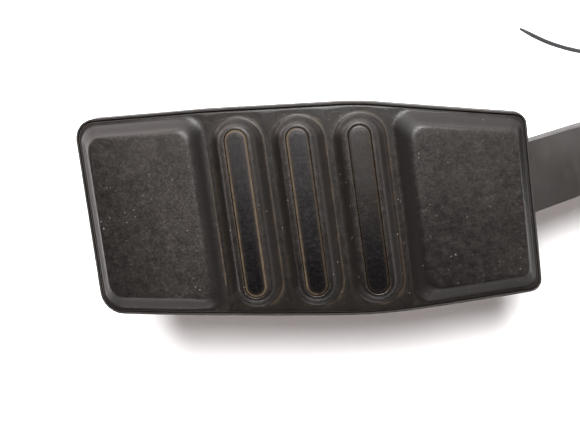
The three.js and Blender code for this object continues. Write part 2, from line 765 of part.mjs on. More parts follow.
// Seat that rocks on the horn's nose and carries the front ends of the springs.
function springSeat() {
  const disc = barX(9.6, [0.2, SPRING_X[0] - GAP], 0, SPRING_Z, 24);
  const spigot = barX(SPIGOT_R, [3, 6], 0, SPRING_Z, 20);
  const collar = box([-3, 0.4], around(0, 7.5), around(SPRING_Z, 4.6));
  const cradle = barY(NOSE.r + GAP, around(0, 20), NOSE.x, NOSE.z, 20);
  return cut(join(disc, spigot, collar), cradle);
}

// Fixed seat at the back ends of the springs.
function springPlate() {
  const disc = barX(11, [SPRING_X[1] + GAP, HOUSING_X[1] - WALL - GAP], 0, SPRING_Z, 24);
  return join(disc, barX(SPIGOT_R, [43.5, 46.5], 0, SPRING_Z, 20));
}

function idleBumper() {
  const block = box([-14.8, -10], around(0, 6), [NOSE.z - 4, NOSE.z + 2.6]);
  const groove = box([-11.2, -9], around(0, 1.2), [0, 40]);
  return cut(block, groove);
}

function travelBumper() {
  const [x, y] = [-22.2, -4];
  return join(barZ(4.5, [18.2, 22], x, y, 20), barZ(3.8, [21.9, FULL_STOP_Z], x, y, 20));
}

// Friction shoe that rubs on the back of the hub, and the small spring that presses it.
function frictionShoe() {
  const block = box(SHOE.x, around(0, SHOE.half), around(PIVOT_Z, SHOE.half));
  return cut(block, barY(HUB_R + 0.2, around(0, 20), 0, PIVOT_Z, 36));
}

function frictionSpring() {
  const arch = new THREE.Shape();
  const [near, far] = [SHOE.x[1] + GAP, SHOE.x[1] + 1];
  arch.moveTo(near, PIVOT_Z - 6.6);
  arch.quadraticCurveTo(27, PIVOT_Z, near, PIVOT_Z + 6.6);
  arch.lineTo(far, PIVOT_Z + 6.8);
  arch.quadraticCurveTo(28, PIVOT_Z, far, PIVOT_Z - 6.8);
  return prismY(arch, around(0, 5), 8);
}

// ---------------------------------------------------------------- angle sensor

function sensorOutline(inset) {
  const [x0, x1] = SENSOR_X;
  const [z0, z1] = SENSOR_Z;
  const corners = [
    [x0, z0, 6],
    [x1, z0, 6],
    [x1, z1 - 8, 8],
    [x1 - 12, z1, 8],
    [x0, z1, 8],
  ];
  return outlineShape(roundedPoints(insetCorners(corners, inset), 4));
}

function sensorCase() {
  const [x0, x1] = SENSOR_X;
  const outer = prismY(sensorOutline(0), SENSOR_Y);
  const inner = prismY(sensorOutline(SENSOR_WALL), [SENSOR_Y[0] + SENSOR_WALL, SENSOR_Y[1] + 1]);
  const pillarLimit = prismY(sensorOutline(0.5), SENSOR_Y);
  const pillars = SENSOR_SCREWS.map(([x, z]) => barY(3.8, SENSOR_Y, x, z, 20).intersect(pillarLimit));
  const shroud = box([SHROUD_X[0] - 1, SHROUD_X[1]], SHROUD_Y, SHROUD_Z);
  const socket = box(
    [SHROUD_X[0] + 3, SHROUD_X[1] + 1],
    [SHROUD_Y[0] + SHROUD_WALL, SHROUD_Y[1] - SHROUD_WALL],
    [SHROUD_Z[0] + SHROUD_WALL, SHROUD_Z[1] - SHROUD_WALL],
  );
  const latchSide = outlineShape([
    [46, SHROUD_Z[1] - 0.5],
    [54, SHROUD_Z[1] - 0.5],
    [51, SHROUD_Z[1] + 2.2],
    [50, SHROUD_Z[1] + 2.2],
  ]);
  const latch = prismY(latchSide, around(middle(SHROUD_Y), 3));
  const keyRibs = [27.8, 35.8].map((y) => {
    return box([SHROUD_X[0], SHROUD_X[1] - 2], around(y, 0.8), [SHROUD_Z[0] - 1.3, SHROUD_Z[0] + 0.5]);
  });
  const harnessEye = cut(
    box([-27.5, x0 + 1], [28.4, 31.4], around(TIE_TAIL[0][2], 4.5)),
    box([-24.6, -20], [28, 32], around(TIE_TAIL[0][2], 2.4)),
  );
  const bladeSlots = terminalPlaces().map(([y, z]) => {
    return box([x1 - 4, SHROUD_X[0] + 4], around(y, 0.5), around(z, 0.9));
  });
  const screwHoles = SENSOR_SCREWS.map(([x, z]) => barY(SCREW_HOLE_R, [20, 45], x, z, 12));
  const magnetHole = barY(HOLDER.radius + 1.6, [SENSOR_Y[0] - 1, SENSOR_Y[0] + 3], 0, PIVOT_Z);
  const shell = join(cut(outer, inner), ...pillars, shroud, latch, ...keyRibs, harnessEye);
  return cut(shell, socket, magnetHole, ...bladeSlots, ...screwHoles);
}

function sensorLid() {
  const x1 = SENSOR_X[1];
  const plate = prismY(sensorOutline(0), LID_Y);
  const shroudNotch = box([x1 - 1.5, x1 + 5], [30, 50], [SHROUD_Z[0] - 1, SHROUD_Z[1] + 0.5]);
  const panel = prismY(sensorOutline(7), [LID_Y[1] - 0.5, LID_Y[1] + 1]);
  const ring = cut(
    barY(9, [LID_Y[1], LID_Y[1] + 2], 0, PIVOT_Z, 28),
    barY(7.2, [LID_Y[1] - 1, LID_Y[1] + 3], 0, PIVOT_Z, 28),
  );
  const wells = SENSOR_SCREWS.map(([x, z]) => barY(SCREW.headR + 0.9, [LID_Y[1] - 0.01, 50], x, z, 20));
  const holes = SENSOR_SCREWS.map(([x, z]) => barY(SCREW_HOLE_R, [30, 50], x, z, 12));
  return cut(join(plate, panel, ring), shroudNotch, ...wells, ...holes);
}

function lidSeal() {
  const x1 = SENSOR_X[1];
  const height = [SENSOR_Y[1] + 0.1, LID_Y[0] - 0.1];
  const band = cut(prismY(sensorOutline(0.5), height), prismY(sensorOutline(1.8), height));
  return cut(band, box([x1 - 2.2, x1 + 1], [30, 50], [SHROUD_Z[0] - 1.6, SHROUD_Z[1] + 1]));
}

function circuitBoard() {
  const board = join(box([-11, 28], BOARD_Y, [27.5, 41.5]), box([-9.5, 16], BOARD_Y, [41, 57]));
  const holes = TERMINAL_Z.map((z) => box([24, 25.4], [30, 36], around(z, 1)));
  const corners = SENSOR_SCREWS.map(([x, z]) => barY(4.4, [30, 38], x, z, 20));
  return cut(board, ...holes, ...corners);
}

function terminalPlaces() {
  return TERMINAL_Y.flatMap((y) => TERMINAL_Z.map((z) => [y, z]));
}

// Flat blade from the board through the back of the connector socket.
function terminal([y, z]) {
  const blade = box([29, 50], around(y, 0.32), around(z, 0.75));
  const tip = box([49.5, 52], around(y, 0.2), around(z, 0.45));
  return join(blade, tip);
}

function pivotPin() {
  const pin = barY(PIN_R, PIN_Y, 0, PIVOT_Z);
  const groove = cut(barY(PIN_R + 1, [23.1, 23.9], 0, PIVOT_Z), barY(PIN_R - 0.5, [20, 26], 0, PIVOT_Z));
  return cut(pin, groove);
}

function magnetHolder() {
  const cup = barY(HOLDER.radius, HOLDER.y, 0, PIVOT_Z);
  return cut(cup, barY(MAGNET.outer + GAP, [HOLDER.y[0] + HOLDER.floor, HOLDER.y[1] + 1], 0, PIVOT_Z));
}

function ringMagnet() {
  const bore = barY(MAGNET.inner, around(middle(MAGNET.y), 3), 0, PIVOT_Z, 20);
  return cut(barY(MAGNET.outer, MAGNET.y, 0, PIVOT_Z), bore);
}

function angleChip(x) {
  return box(around(x, CHIP_HALF[0]), CHIP_Y, around(PIVOT_Z, CHIP_HALF[1]));
}

// ---------------------------------------------------------------- fastening and cable tie

// Steel sleeve that takes the load of a mounting bolt.
function boltSleeve({ x, y }) {
  return cut(barZ(LIMITER_R, [0, EAR_T + 0.2], x, y), barZ(BOLT_R, [-1, EAR_T + 1], x, y));
}

function cableTie() {
  const z = TIE_TAIL[0][2];
  const [x0, x1] = TIE_LOOP.x;
  const [y0, y1] = TIE_LOOP.y;
  const corners = [
    [x0, y0, TIE_LOOP.corner],
    [x1, y0, TIE_LOOP.corner],
    [x1, y1, TIE_LOOP.corner],
    [x0, y1, TIE_LOOP.corner],
  ];
  const ring = (inset, half) => {
    return prismZ(outlineShape(roundedPoints(insetCorners(corners, inset), 4)), around(z, half));
  };
  const loop = cut(ring(0, TIE_W / 2), ring(TIE_LOOP_T, TIE_W));
  const head = box(TIE_HEAD.x, TIE_HEAD.y, around(z, TIE_HEAD.half));
  const path = new THREE.CatmullRomCurve3(TIE_TAIL.map((p) => new THREE.Vector3(...p)));
  const section = outlineShape([
    [-TIE_W / 2, -TIE_T / 2],
    [TIE_W / 2, -TIE_T / 2],
    [TIE_W / 2, TIE_T / 2],
    [-TIE_W / 2, TIE_T / 2],
  ]);
  const tail = solid(new THREE.ExtrudeGeometry(section, { extrudePath: path, steps: 24 }));
  return join(loop, head, tail);
}

// ---------------------------------------------------------------- assembly

const pedalModule = new THREE.Group();
const pedal = new THREE.Group();
const pad = new THREE.Group();
pad.position.copy(PAD_CENTRE);
pad.rotation.y = PAD_TILT;
pedal.add(pad);
pedalModule.add(pedal);

// Numbered copies of a piece, one at each of the given places.
function copies(name, places, make, material, parent) {
  places.forEach((place, i) => part(`${name}_${i + 1}`, make(place), material, parent));
}

const coverScrew = ([x, z]) => screw(x, z, COVER_Y[0] - 0.1, 1, COVER_SCREW_LENGTH);
const sensorScrew = ([x, z]) => screw(x, z, LID_Y[1] + 0.1, -1, SENSOR_SCREW_LENGTH);

part("pedal_arm", pedalArm(), MATERIAL.nylon, pedal);
part("pivot_pin", pivotPin(), MATERIAL.steel, pedal);
part("magnet_holder", magnetHolder(), MATERIAL.nylon, pedal);
part("ring_magnet", ringMagnet(), MATERIAL.magnet, pedal);

part("tread_cover", treadCover(), MATERIAL.tread, pad);
copies("grip_insert", ribPlaces, gripInsert, MATERIAL.grip, pad);
copies("stud_retainer", STUDS, studRetainer, MATERIAL.springSteel, pad);

part("spring_seat", springSeat(), MATERIAL.bush, pedalModule);
part("return_spring_outer", coil(OUTER_SPRING), MATERIAL.springSteel, pedalModule);
part("return_spring_inner", coil(INNER_SPRING), MATERIAL.springSteel, pedalModule);
part("spring_plate", springPlate(), MATERIAL.bush, pedalModule);
part("idle_bumper", idleBumper(), MATERIAL.rubber, pedalModule);
part("full_travel_bumper", travelBumper(), MATERIAL.rubber, pedalModule);
part("friction_shoe", frictionShoe(), MATERIAL.bush, pedalModule);
part("friction_spring", frictionSpring(), MATERIAL.springSteel, pedalModule);

part("housing", housing(), MATERIAL.nylon, pedalModule);
part("side_cover", sideCover(), MATERIAL.nylon, pedalModule);
copies("cover_screw", COVER_SCREWS, coverScrew, MATERIAL.steel, pedalModule);
part("bearing_bush_sensor_side", bearingBush(1), MATERIAL.bush, pedalModule);
part("bearing_bush_cover_side", bearingBush(-1), MATERIAL.bush, pedalModule);
copies("bolt_sleeve", BOLT_EARS, boltSleeve, MATERIAL.steel, pedalModule);

part("sensor_case", sensorCase(), MATERIAL.nylon, pedalModule);
part("sensor_lid", sensorLid(), MATERIAL.nylon, pedalModule);
part("lid_seal", lidSeal(), MATERIAL.seal, pedalModule);
copies("sensor_screw", SENSOR_SCREWS, sensorScrew, MATERIAL.steel, pedalModule);
part("circuit_board", circuitBoard(), MATERIAL.board, pedalModule);
copies("angle_chip", CHIP_X, angleChip, MATERIAL.chip, pedalModule);
copies("terminal", terminalPlaces(), terminal, MATERIAL.terminal, pedalModule);
part("cable_tie", cableTie(), MATERIAL.tie, pedalModule);

export default pedalModule;
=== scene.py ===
"""Looks of a hanging accelerator pedal module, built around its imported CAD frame.

The pad's tread cover, its grip strips, the coil springs, the screws and the cable tie are modelled here.
Every other piece is its CAD node with softened edges. All materials are procedural.
"""

import json
import math

import bmesh
import bpy
from mathutils import Matrix, Vector


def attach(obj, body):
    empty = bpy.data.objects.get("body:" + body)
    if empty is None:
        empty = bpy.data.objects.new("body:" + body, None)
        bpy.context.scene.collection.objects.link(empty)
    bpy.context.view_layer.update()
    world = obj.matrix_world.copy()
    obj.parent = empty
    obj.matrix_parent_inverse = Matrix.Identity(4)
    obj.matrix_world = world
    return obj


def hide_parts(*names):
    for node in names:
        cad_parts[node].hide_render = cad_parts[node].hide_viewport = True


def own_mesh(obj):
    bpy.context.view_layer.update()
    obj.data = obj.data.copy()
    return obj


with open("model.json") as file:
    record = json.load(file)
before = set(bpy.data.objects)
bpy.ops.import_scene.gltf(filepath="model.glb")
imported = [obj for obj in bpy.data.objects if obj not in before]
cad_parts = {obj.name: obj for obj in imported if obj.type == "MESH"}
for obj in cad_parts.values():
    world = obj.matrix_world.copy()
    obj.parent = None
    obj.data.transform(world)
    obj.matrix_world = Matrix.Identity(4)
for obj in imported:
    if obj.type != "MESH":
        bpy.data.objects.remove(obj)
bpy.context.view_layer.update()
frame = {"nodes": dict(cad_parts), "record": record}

MM = 0.001
NODES = frame["nodes"]

# ---------------------------------------------------------------- the pad's own frame
# Origin at the crown of the tread, x towards the arm, y across, z out of the tread. Millimetres.

PAD_CENTRE = Vector((-192, -21.5, 94))
PAD_TILT = math.radians(8)
PAD_FRAME = Matrix.Translation(PAD_CENTRE * MM) @ Matrix.Rotation(PAD_TILT, 4, "Y")
CROWN_R = 450
PAD_OUTLINE = [
    # x, y, corner radius; anticlockwise from the lower toe corner
    (-75, -26, 8),
    (18, -36.6, 200),
    (71.2, -35.9, 4),
    (72.2, 22.5, 4),
    (18.8, 33.8, 100),
    (-30, 37.5, 300),
    (-75, 39.3, 6.5),
]
COVER_INSET = 1.0  # tray rim and the gap beside it
COVER_T = 2.4
TREAD_H = 3
RIBS = [(-1.7 + 19.8 * i, 0.5 - 1.8 * i) for i in (-1, 0, 1)]
SLOT_LENGTH = 48.1
SLOT_R = 3.75
STRIP_R = SLOT_R - 0.15
FOOT_R = SLOT_R + 5.2  # to the foot of a rib's flank
PLATFORM_FOOT = (-31.6, 28.8)
PLATFORM_MARGIN = 1.5
PLATFORM_INNER_RUN = 6.2
TOE_END_RUN = 3.4
HEEL_END_RUN = 2.9
PLATFORM_SIDE_RUN = 5.4
TOE_CORNERS = (6.5, 5, 5, 5.2)  # anticlockwise from the lower toe corner
HEEL_CORNERS = (5, 3.5, 3.5, 5)
HEEL_LEAN = 1  # the arm end's upper corner lies this much further out
STUDS = [(-60, 25), (-60, -14), (58, 17), (58, -26)]
STUD_R = 2
STUD_LENGTH = 8.4  # below the tread's surface


def on_crown(x, y, h):
    """A point h above the crowned tread surface, in the pad's frame."""
    turn = x / CROWN_R
    return Vector((x + h * math.sin(turn), y, -x * x / (2 * CROWN_R) + h * math.cos(turn)))


def rub_and_sheen(x, y):
    """How much the tread is dulled by shoe wear and lightened by painted sheen, from 0 to 1: most towards its
    upper edge, where the lamp's highlight is painted in.
    """
    up = (y + 31) / 61
    if x < PLATFORM_FOOT[0]:
        along = min((x - PAD_OUTLINE[0][0] - 3) / 26, 1)
        return min(max(0.02 + 0.42 * along ** 2 * (3 - 2 * along) + 0.42 * up, 0), 1)
    if x > PLATFORM_FOOT[1]:
        along = 0.38 * ((x - PLATFORM_FOOT[1]) / (PAD_OUTLINE[2][0] - PLATFORM_FOOT[1])) ** 1.6
        return min(max(along + (0.78 - along) * up ** 1.3, 0), 1) if up > 0 else along
    return min(max(up, 0) ** 1.2 * 0.88, 1)


def inset(corners, distance):
    """Moves each side of a convex anticlockwise polygon inwards."""
    moved = []
    for i, (x, y, radius) in enumerate(corners):
        lines = []
        for j in (i - 1, i):
            a = Vector(corners[j][:2])
            b = Vector(corners[(j + 1) % len(corners)][:2])
            way = (b - a).normalized()
            lines.append((a + Vector((-way.y, way.x)) * distance, way))
        (p, u), (q, v) = lines
        along = (q - p).cross(v) / u.cross(v)
        corner = p + u * along
        moved.append((corner.x, corner.y, max(radius - distance, 0.6)))
    return moved


def side_at(corners, x, upper):
    """Height of the polygon's upper or lower side at x."""
    xs = [corner[0] for corner in corners]
    x = min(max(x, min(xs) + 1e-4), max(xs) - 1e-4)
    found = []
    for i, (ax, ay, _) in enumerate(corners):
        bx, by, _ = corners[(i + 1) % len(corners)]
        if abs(bx - ax) > 1e-6 and (ax - x) * (bx - x) <= 0:
            found.append(ay + (by - ay) * (x - ax) / (bx - ax))
    return max(found) if upper else min(found)


def corner_arc(corners, i):
    """Centre, radius, start angle and turn of the rounded corner i."""
    x, y, radius = corners[i]
    corner = Vector((x, y))
    before = (Vector(corners[i - 1][:2]) - corner).normalized()
    after = (Vector(corners[(i + 1) % len(corners)][:2]) - corner).normalized()
    half = before.angle(after) / 2
    centre = corner + (before + after).normalized() * (radius / math.sin(half))
    touch = corner + before * (radius / math.tan(half)) - centre
    return centre, radius, math.atan2(touch.y, touch.x), math.pi - 2 * half


def loop_side(corners, i, j, arc_steps, straight_steps):
    """Points from the middle of corner i's arc to just before the middle of corner j's arc."""
    points = []
    centre, radius, start, turn = corner_arc(corners, i)
    for k in range(arc_steps):
        angle = start + turn * (0.5 + 0.5 * k / arc_steps)
        points.append(centre + radius * Vector((math.cos(angle), math.sin(angle))))
    angle = start + turn
    first = centre + radius * Vector((math.cos(angle), math.sin(angle)))
    centre, radius, start, turn = corner_arc(corners, j)
    last = centre + radius * Vector((math.cos(start), math.sin(start)))
    points += [first.lerp(last, k / straight_steps) for k in range(straight_steps)]
    for k in range(arc_steps):
        angle = start + turn * 0.5 * k / arc_steps
        points.append(centre + radius * Vector((math.cos(angle), math.sin(angle))))
    return points


class Loop:
    """A closed row of points with four sides: right, top, left and bottom, anticlockwise."""

    def __init__(self, right, top, left, bottom):
        self.counts = [len(right), len(top), len(left), len(bottom)]
        self.points = right + top + left + bottom

    @classmethod
    def rounded(cls, corners, arc_steps, tall, wide):
        """From four corners: lower left, lower right, upper right and upper left."""
        right = loop_side(corners, 1, 2, arc_steps, tall)
        top = loop_side(corners, 2, 3, arc_steps, wide)
        left = loop_side(corners, 3, 0, arc_steps, tall)
        bottom = loop_side(corners, 0, 1, arc_steps, wide)
        return cls(right, top, left, bottom)

    def mixed(self, other, share):
        blend = Loop([], [], [], [])
        blend.counts = self.counts
        blend.points = [a.lerp(b, share) for a, b in zip(self.points, other.points)]
        return blend


def stadium_corners(x, y, length, radius):
    low, high = y - length / 2 - radius, y + length / 2 + radius
    r = radius * 0.9999
    return [(x - radius, low, r), (x + radius, low, r), (x + radius, high, r), (x - radius, high, r)]


class Surface:
    """Collects rings of points on the crowned pad and joins them with quads."""

    def __init__(self):
        self.bm = bmesh.new()
        self.dust = self.bm.verts.layers.float.new("dust")
        self.painted_hollow_shade = self.bm.verts.layers.float.new("painted_hollow_shade")
        self.level = self.bm.verts.layers.float.new("level")
        self.rub_and_sheen = self.bm.verts.layers.float.new("rub_and_sheen")

    def vertex(self, x, y, height, dust):
        """One vertex with its marks: painted shade darkens the tread's floor, and shoes rub its high parts
        dull under a painted sheen that lightens them.
        """
        v = self.bm.verts.new(on_crown(x, y, height))
        share = min(max(height / TREAD_H, 0), 1)
        v[self.dust] = dust
        # Painted shade: this share darkens the tread's low floor.
        v[self.painted_hollow_shade] = (1 - share) ** 3
        v[self.level] = max(2.5 * share - 1.5, (1 - share) ** 6)
        # Shoe wear dulls the high parts, and the same share paints them lighter towards the upper edge: a
        # painted highlight.
        v[self.rub_and_sheen] = rub_and_sheen(x, y) * max(2.5 * share - 1.5, 0.45 * (1 - share) ** 6)
        return v

    def ring(self, loop, height, dust=0.0):
        """height and dust are numbers, or functions of a point."""
        verts = []
        for p in loop.points:
            here = height(p) if callable(height) else height
            verts.append(self.vertex(p.x, p.y, here, dust(p) if callable(dust) else dust))
        return verts

    def join(self, inner, outer):
        n = len(inner)
        for i in range(n):
            k = (i + 1) % n
            self.bm.faces.new((inner[i], outer[i], outer[k], inner[k]))

    def fill(self, ring, loop, height, dust=0.0):
        """Fills a four-sided ring with a grid of quads."""
        right, top, left, _ = loop.counts
        n = len(ring)
        east = [ring[i % n] for i in range(0, right + 1)]
        north = [ring[i % n] for i in range(right, right + top + 1)][::-1]
        west = [ring[i % n] for i in range(right + top, right + top + left + 1)][::-1]
        south = [ring[i % n] for i in range(right + top + left, n + 1)]
        grid = []
        pts = loop.points
        flat = {v: pts[i] for i, v in enumerate(ring)}
        for b in range(right + 1):
            row = []
            t = b / right
            for a in range(top + 1):
                s = a / top
                if b == 0:
                    row.append(south[a])
                elif b == right:
                    row.append(north[a])
                elif a == 0:
                    row.append(west[b])
                elif a == top:
                    row.append(east[b])
                else:
                    p = (
                        flat[west[b]] * (1 - s)
                        + flat[east[b]] * s
                        + flat[south[a]] * (1 - t)
                        + flat[north[a]] * t
                        - flat[south[0]] * (1 - s) * (1 - t)
                        - flat[south[top]] * s * (1 - t)
                        - flat[north[0]] * (1 - s) * t
                        - flat[north[top]] * s * t
                    )
                    row.append(self.vertex(p.x, p.y, height, dust(p) if callable(dust) else dust))
            grid.append(row)
        for b in range(right):
            for a in range(top):
                quad = (grid[b][a], grid[b][a + 1], grid[b + 1][a + 1], grid[b + 1][a])
                self.bm.faces.new(quad)


def ease(t, shoulder=0.35, foot=0.4):
    """Falls from 1 to 0 with a round shoulder, a straight flank and a hollow foot."""
    slope = 1 / (1 - (shoulder + foot) / 2)
    if t < shoulder:
        return 1 - slope * t * t / (2 * shoulder)
    if t > 1 - foot:
        return slope * (1 - t) ** 2 / (2 * foot)
    return 1 - slope * (t - shoulder / 2)


# ---------------------------------------------------------------- making pieces


def tube(bm, rows, close_ends=True):
    """Joins rows of vertices in turn; the ends are closed with flat faces."""
    count = len(rows[0])
    for row, after in zip(rows, rows[1:]):
        for i in range(count):
            k = (i + 1) % count
            bm.faces.new((row[i], row[k], after[k], after[i]))
    if close_ends:
        bm.faces.new(rows[0][::-1])
        bm.faces.new(rows[-1])


def finish_piece(name, bm, matrix, body, material, sharp=40):
    bmesh.ops.recalc_face_normals(bm, faces=bm.faces)
    bmesh.ops.transform(bm, matrix=Matrix.Scale(MM, 4), verts=bm.verts)
    mesh = bpy.data.meshes.new(name)
    bm.to_mesh(mesh)
    bm.free()
    mesh.transform(matrix)
    mesh.shade_smooth()
    mesh.set_sharp_from_angle(angle=math.radians(sharp))
    piece = bpy.data.objects.new(name, mesh)
    bpy.context.scene.collection.objects.link(piece)
    mesh.materials.append(material)
    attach(piece, body)
    return piece


# ---------------------------------------------------------------- materials


class Nodes:
    """Short hand for wiring one material's nodes."""

    def __init__(self, name):
        self.material = bpy.data.materials.new(name)
        self.material.use_nodes = True
        self.tree = self.material.node_tree
        self.tree.nodes.clear()
        self.out = self.tree.nodes.new("ShaderNodeOutputMaterial")
        self.shader = self.tree.nodes.new("ShaderNodeBsdfPrincipled")
        self.tree.links.new(self.shader.outputs[0], self.out.inputs["Surface"])

    def add(self, kind, settings=None, **sockets):
        node = self.tree.nodes.new("ShaderNode" + kind)
        for key, value in (settings or {}).items():
            setattr(node, key, value)
        for key, value in sockets.items():
            self.put(node.inputs[key.replace("_", " ")], value)
        return node

    def put(self, socket, value):
        if isinstance(value, bpy.types.NodeSocket):
            self.tree.links.new(value, socket)
        else:
            socket.default_value = value

    def coords(self, scale=(1, 1, 1), turn=(0, 0, 0)):
        place = self.add("TexCoord").outputs["Object"]
        mapping = self.add("Mapping", Scale=scale, Rotation=turn)
        self.put(mapping.inputs["Vector"], place)
        return mapping.outputs[0]

    def noise(self, scale, detail=4.0, rough=0.6, vector=None):
        node = self.add("TexNoise", Scale=scale, Detail=detail, Roughness=rough)
        self.put(node.inputs["Vector"], vector or self.coords())
        return node.outputs["Fac"]

    def ramp(self, fac, stops):
        node = self.add("ValToRGB", Fac=fac)
        elements = node.color_ramp.elements
        while len(elements) < len(stops):
            elements.new(0.5)
        for element, (place, value) in zip(elements, stops):
            element.position = place
            element.color = (value, value, value, 1) if isinstance(value, (int, float)) else (*value, 1)
        return node.outputs["Color"]

    def math(self, operation, a, b=0.0):
        node = self.add("Math", {"operation": operation})
        self.put(node.inputs[0], a)
        self.put(node.inputs[1], b)
        return node.outputs[0]

    def mix(self, share, a, b):
        node = self.add("Mix", {"data_type": "RGBA"})
        self.put(node.inputs[0], share)
        self.put(node.inputs[6], a if isinstance(a, bpy.types.NodeSocket) else (*a, 1))
        self.put(node.inputs[7], b if isinstance(b, bpy.types.NodeSocket) else (*b, 1))
        return node.outputs[2]

    def bump(self, height, strength, distance, normal=None):
        node = self.add("Bump", Height=height, Strength=strength, Distance=distance)
        if normal is not None:
            self.put(node.inputs["Normal"], normal)
        return node.outputs[0]

    def finish(self, color, roughness, normal=None, **plain):
        self.put(self.shader.inputs["Base Color"], color)
        self.put(self.shader.inputs["Roughness"], roughness)
        if normal is not None:
            self.put(self.shader.inputs["Normal"], normal)
        for key, value in plain.items():
            self.shader.inputs[key.replace("_", " ")].default_value = value
        return self.material


def tread_plastic():
    """Black plastic, glossy where it is new and dull where shoes rub it, lightened there by painted sheen,
    darkened by painted shade in the tread's floor, with specks and brown dirt.
    """
    n = Nodes("tread_plastic")
    rub_and_sheen_fac = n.add("Attribute", {"attribute_name": "rub_and_sheen"}).outputs["Fac"]
    painted_hollow_shade = n.add("Attribute", {"attribute_name": "painted_hollow_shade"}).outputs["Fac"]
    dust = n.add("Attribute", {"attribute_name": "dust"}).outputs["Fac"]
    level = n.add("Attribute", {"attribute_name": "level"}).outputs["Fac"]
    blotch = n.noise(70.0, 4.0, 0.6)
    cloud = n.noise(380.0, 2.0, 0.5)
    brushed = n.noise(330.0, 3.0, 0.7, n.coords((0.22, 6, 1)))
    grain = n.noise(1250.0, 4.0, 0.75)
    patches = n.math("ADD", n.math("MULTIPLY", blotch, 0.5), n.math("MULTIPLY", cloud, 0.9))
    patches = n.math("SUBTRACT", n.math("ADD", patches, n.math("MULTIPLY", grain, 0.15)), 0.775)
    wear_and_sheen = n.math("ADD", rub_and_sheen_fac, n.math("MULTIPLY", patches, level))
    wear_and_sheen = n.ramp(wear_and_sheen, [(0.0, 0.0), (1.0, 1.0)])
    # Painted sheen and wear: this share lightens the base colour towards the tread's upper edge and raises
    # its roughness.
    base = n.mix(wear_and_sheen, (0.003, 0.0024, 0.0023), (0.0125, 0.0106, 0.0096))
    flecks = n.math("MULTIPLY", n.ramp(grain, [(0.46, 0.0), (0.72, 1.0)]), n.math("ADD", wear_and_sheen, 0.1))
    flecks = n.math("MULTIPLY", flecks, level)
    base = n.mix(n.math("MULTIPLY", flecks, 0.75), base, (0.042, 0.0355, 0.0315))
    lines = n.math("MULTIPLY", n.ramp(brushed, [(0.5, 0.0), (0.8, 1.0)]), n.math("MULTIPLY", level, 0.25))
    base = n.mix(lines, base, (0.022, 0.019, 0.0175))
    # Painted shade: the tread's low floor, between the ribs and platforms, is darkened.
    base = n.mix(n.math("MULTIPLY", painted_hollow_shade, 0.4), base, (0.0045, 0.0036, 0.0028))
    specks = n.add("TexVoronoi", {"feature": "F1"}, Scale=700.0, Randomness=1.0)
    n.put(specks.inputs["Vector"], n.coords())
    near = n.ramp(specks.outputs["Distance"], [(0.06, 1.0), (0.2, 0.0)])
    rare = n.ramp(n.noise(330.0, 2.0, 0.6), [(0.6, 0.0), (0.68, 1.0)])
    dots = n.math("MULTIPLY", n.math("MULTIPLY", near, rare), 0.5)
    base = n.mix(dots, base, (0.26, 0.24, 0.22))
    patchy = n.ramp(n.noise(210.0, 5.0, 0.75), [(0.36, 0.15), (0.62, 1.0)])
    base = n.mix(n.math("MULTIPLY", dust, patchy), base, (0.075, 0.051, 0.03))
    rough = n.ramp(wear_and_sheen, [(0.0, 0.29), (1.0, 0.43)])
    flank = n.math("MULTIPLY", n.math("SUBTRACT", 1.0, level), n.math("SUBTRACT", 0.5, rough))
    rough = n.math("ADD", rough, flank)
    grainy = n.math("MULTIPLY", n.math("SUBTRACT", grain, 0.5), n.math("MULTIPLY", level, 0.08))
    rough = n.math("ADD", rough, grainy)
    rough = n.math("ADD", rough, n.math("MULTIPLY", dust, 0.3))
    rise = n.math("ADD", n.math("MULTIPLY", level, 0.32), 0.06)
    normal = n.bump(grain, rise, 0.00009, n.bump(brushed, n.math("MULTIPLY", rise, 0.3), 0.00008))
    return n.finish(base, rough, normal, Specular_IOR_Level=0.5)


def grip_plastic():
    """Smoother black plastic with a bluish tone, duller towards its upper end and lighter there by painted
    sheen, brown dirt round its edge.
    """
    n = Nodes("grip_plastic")
    rub_and_sheen_fac = n.add("Attribute", {"attribute_name": "rub_and_sheen"}).outputs["Fac"]
    dust = n.add("Attribute", {"attribute_name": "dust"}).outputs["Fac"]
    blotch = n.noise(190.0, 5.0, 0.7)
    brushed = n.noise(360.0, 3.0, 0.7, n.coords((0.25, 5, 1)))
    grain = n.noise(1100.0, 3.0, 0.75)
    wear_and_sheen = n.math("ADD", rub_and_sheen_fac, n.math("MULTIPLY", n.math("SUBTRACT", blotch, 0.5), 0.4))
    wear_and_sheen = n.math("ADD", wear_and_sheen, n.math("MULTIPLY", n.math("SUBTRACT", brushed, 0.5), 0.3))
    wear_and_sheen = n.ramp(wear_and_sheen, [(0.08, 0.0), (0.92, 1.0)])
    # Painted sheen and wear: the strip is painted lighter and made duller towards its upper end.
    base = n.mix(wear_and_sheen, (0.0014, 0.0013, 0.0016), (0.0115, 0.0106, 0.0108))
    flecks = n.math("MULTIPLY", n.ramp(grain, [(0.47, 0.0), (0.75, 1.0)]), n.math("ADD", wear_and_sheen, 0.2))
    base = n.mix(n.math("MULTIPLY", flecks, 0.55), base, (0.034, 0.0295, 0.0275))
    patchy = n.ramp(n.noise(230.0, 4.0, 0.7), [(0.3, 0.45), (0.6, 1.0)])
    base = n.mix(n.math("MULTIPLY", dust, patchy), base, (0.058, 0.042, 0.026))
    rough = n.ramp(wear_and_sheen, [(0.0, 0.2), (1.0, 0.4)])
    rough = n.math("ADD", rough, n.math("MULTIPLY", dust, 0.3))
    normal = n.bump(grain, 0.35, 0.00007, n.bump(brushed, 0.12, 0.00006))
    return n.finish(base, rough, normal, Specular_IOR_Level=0.45)


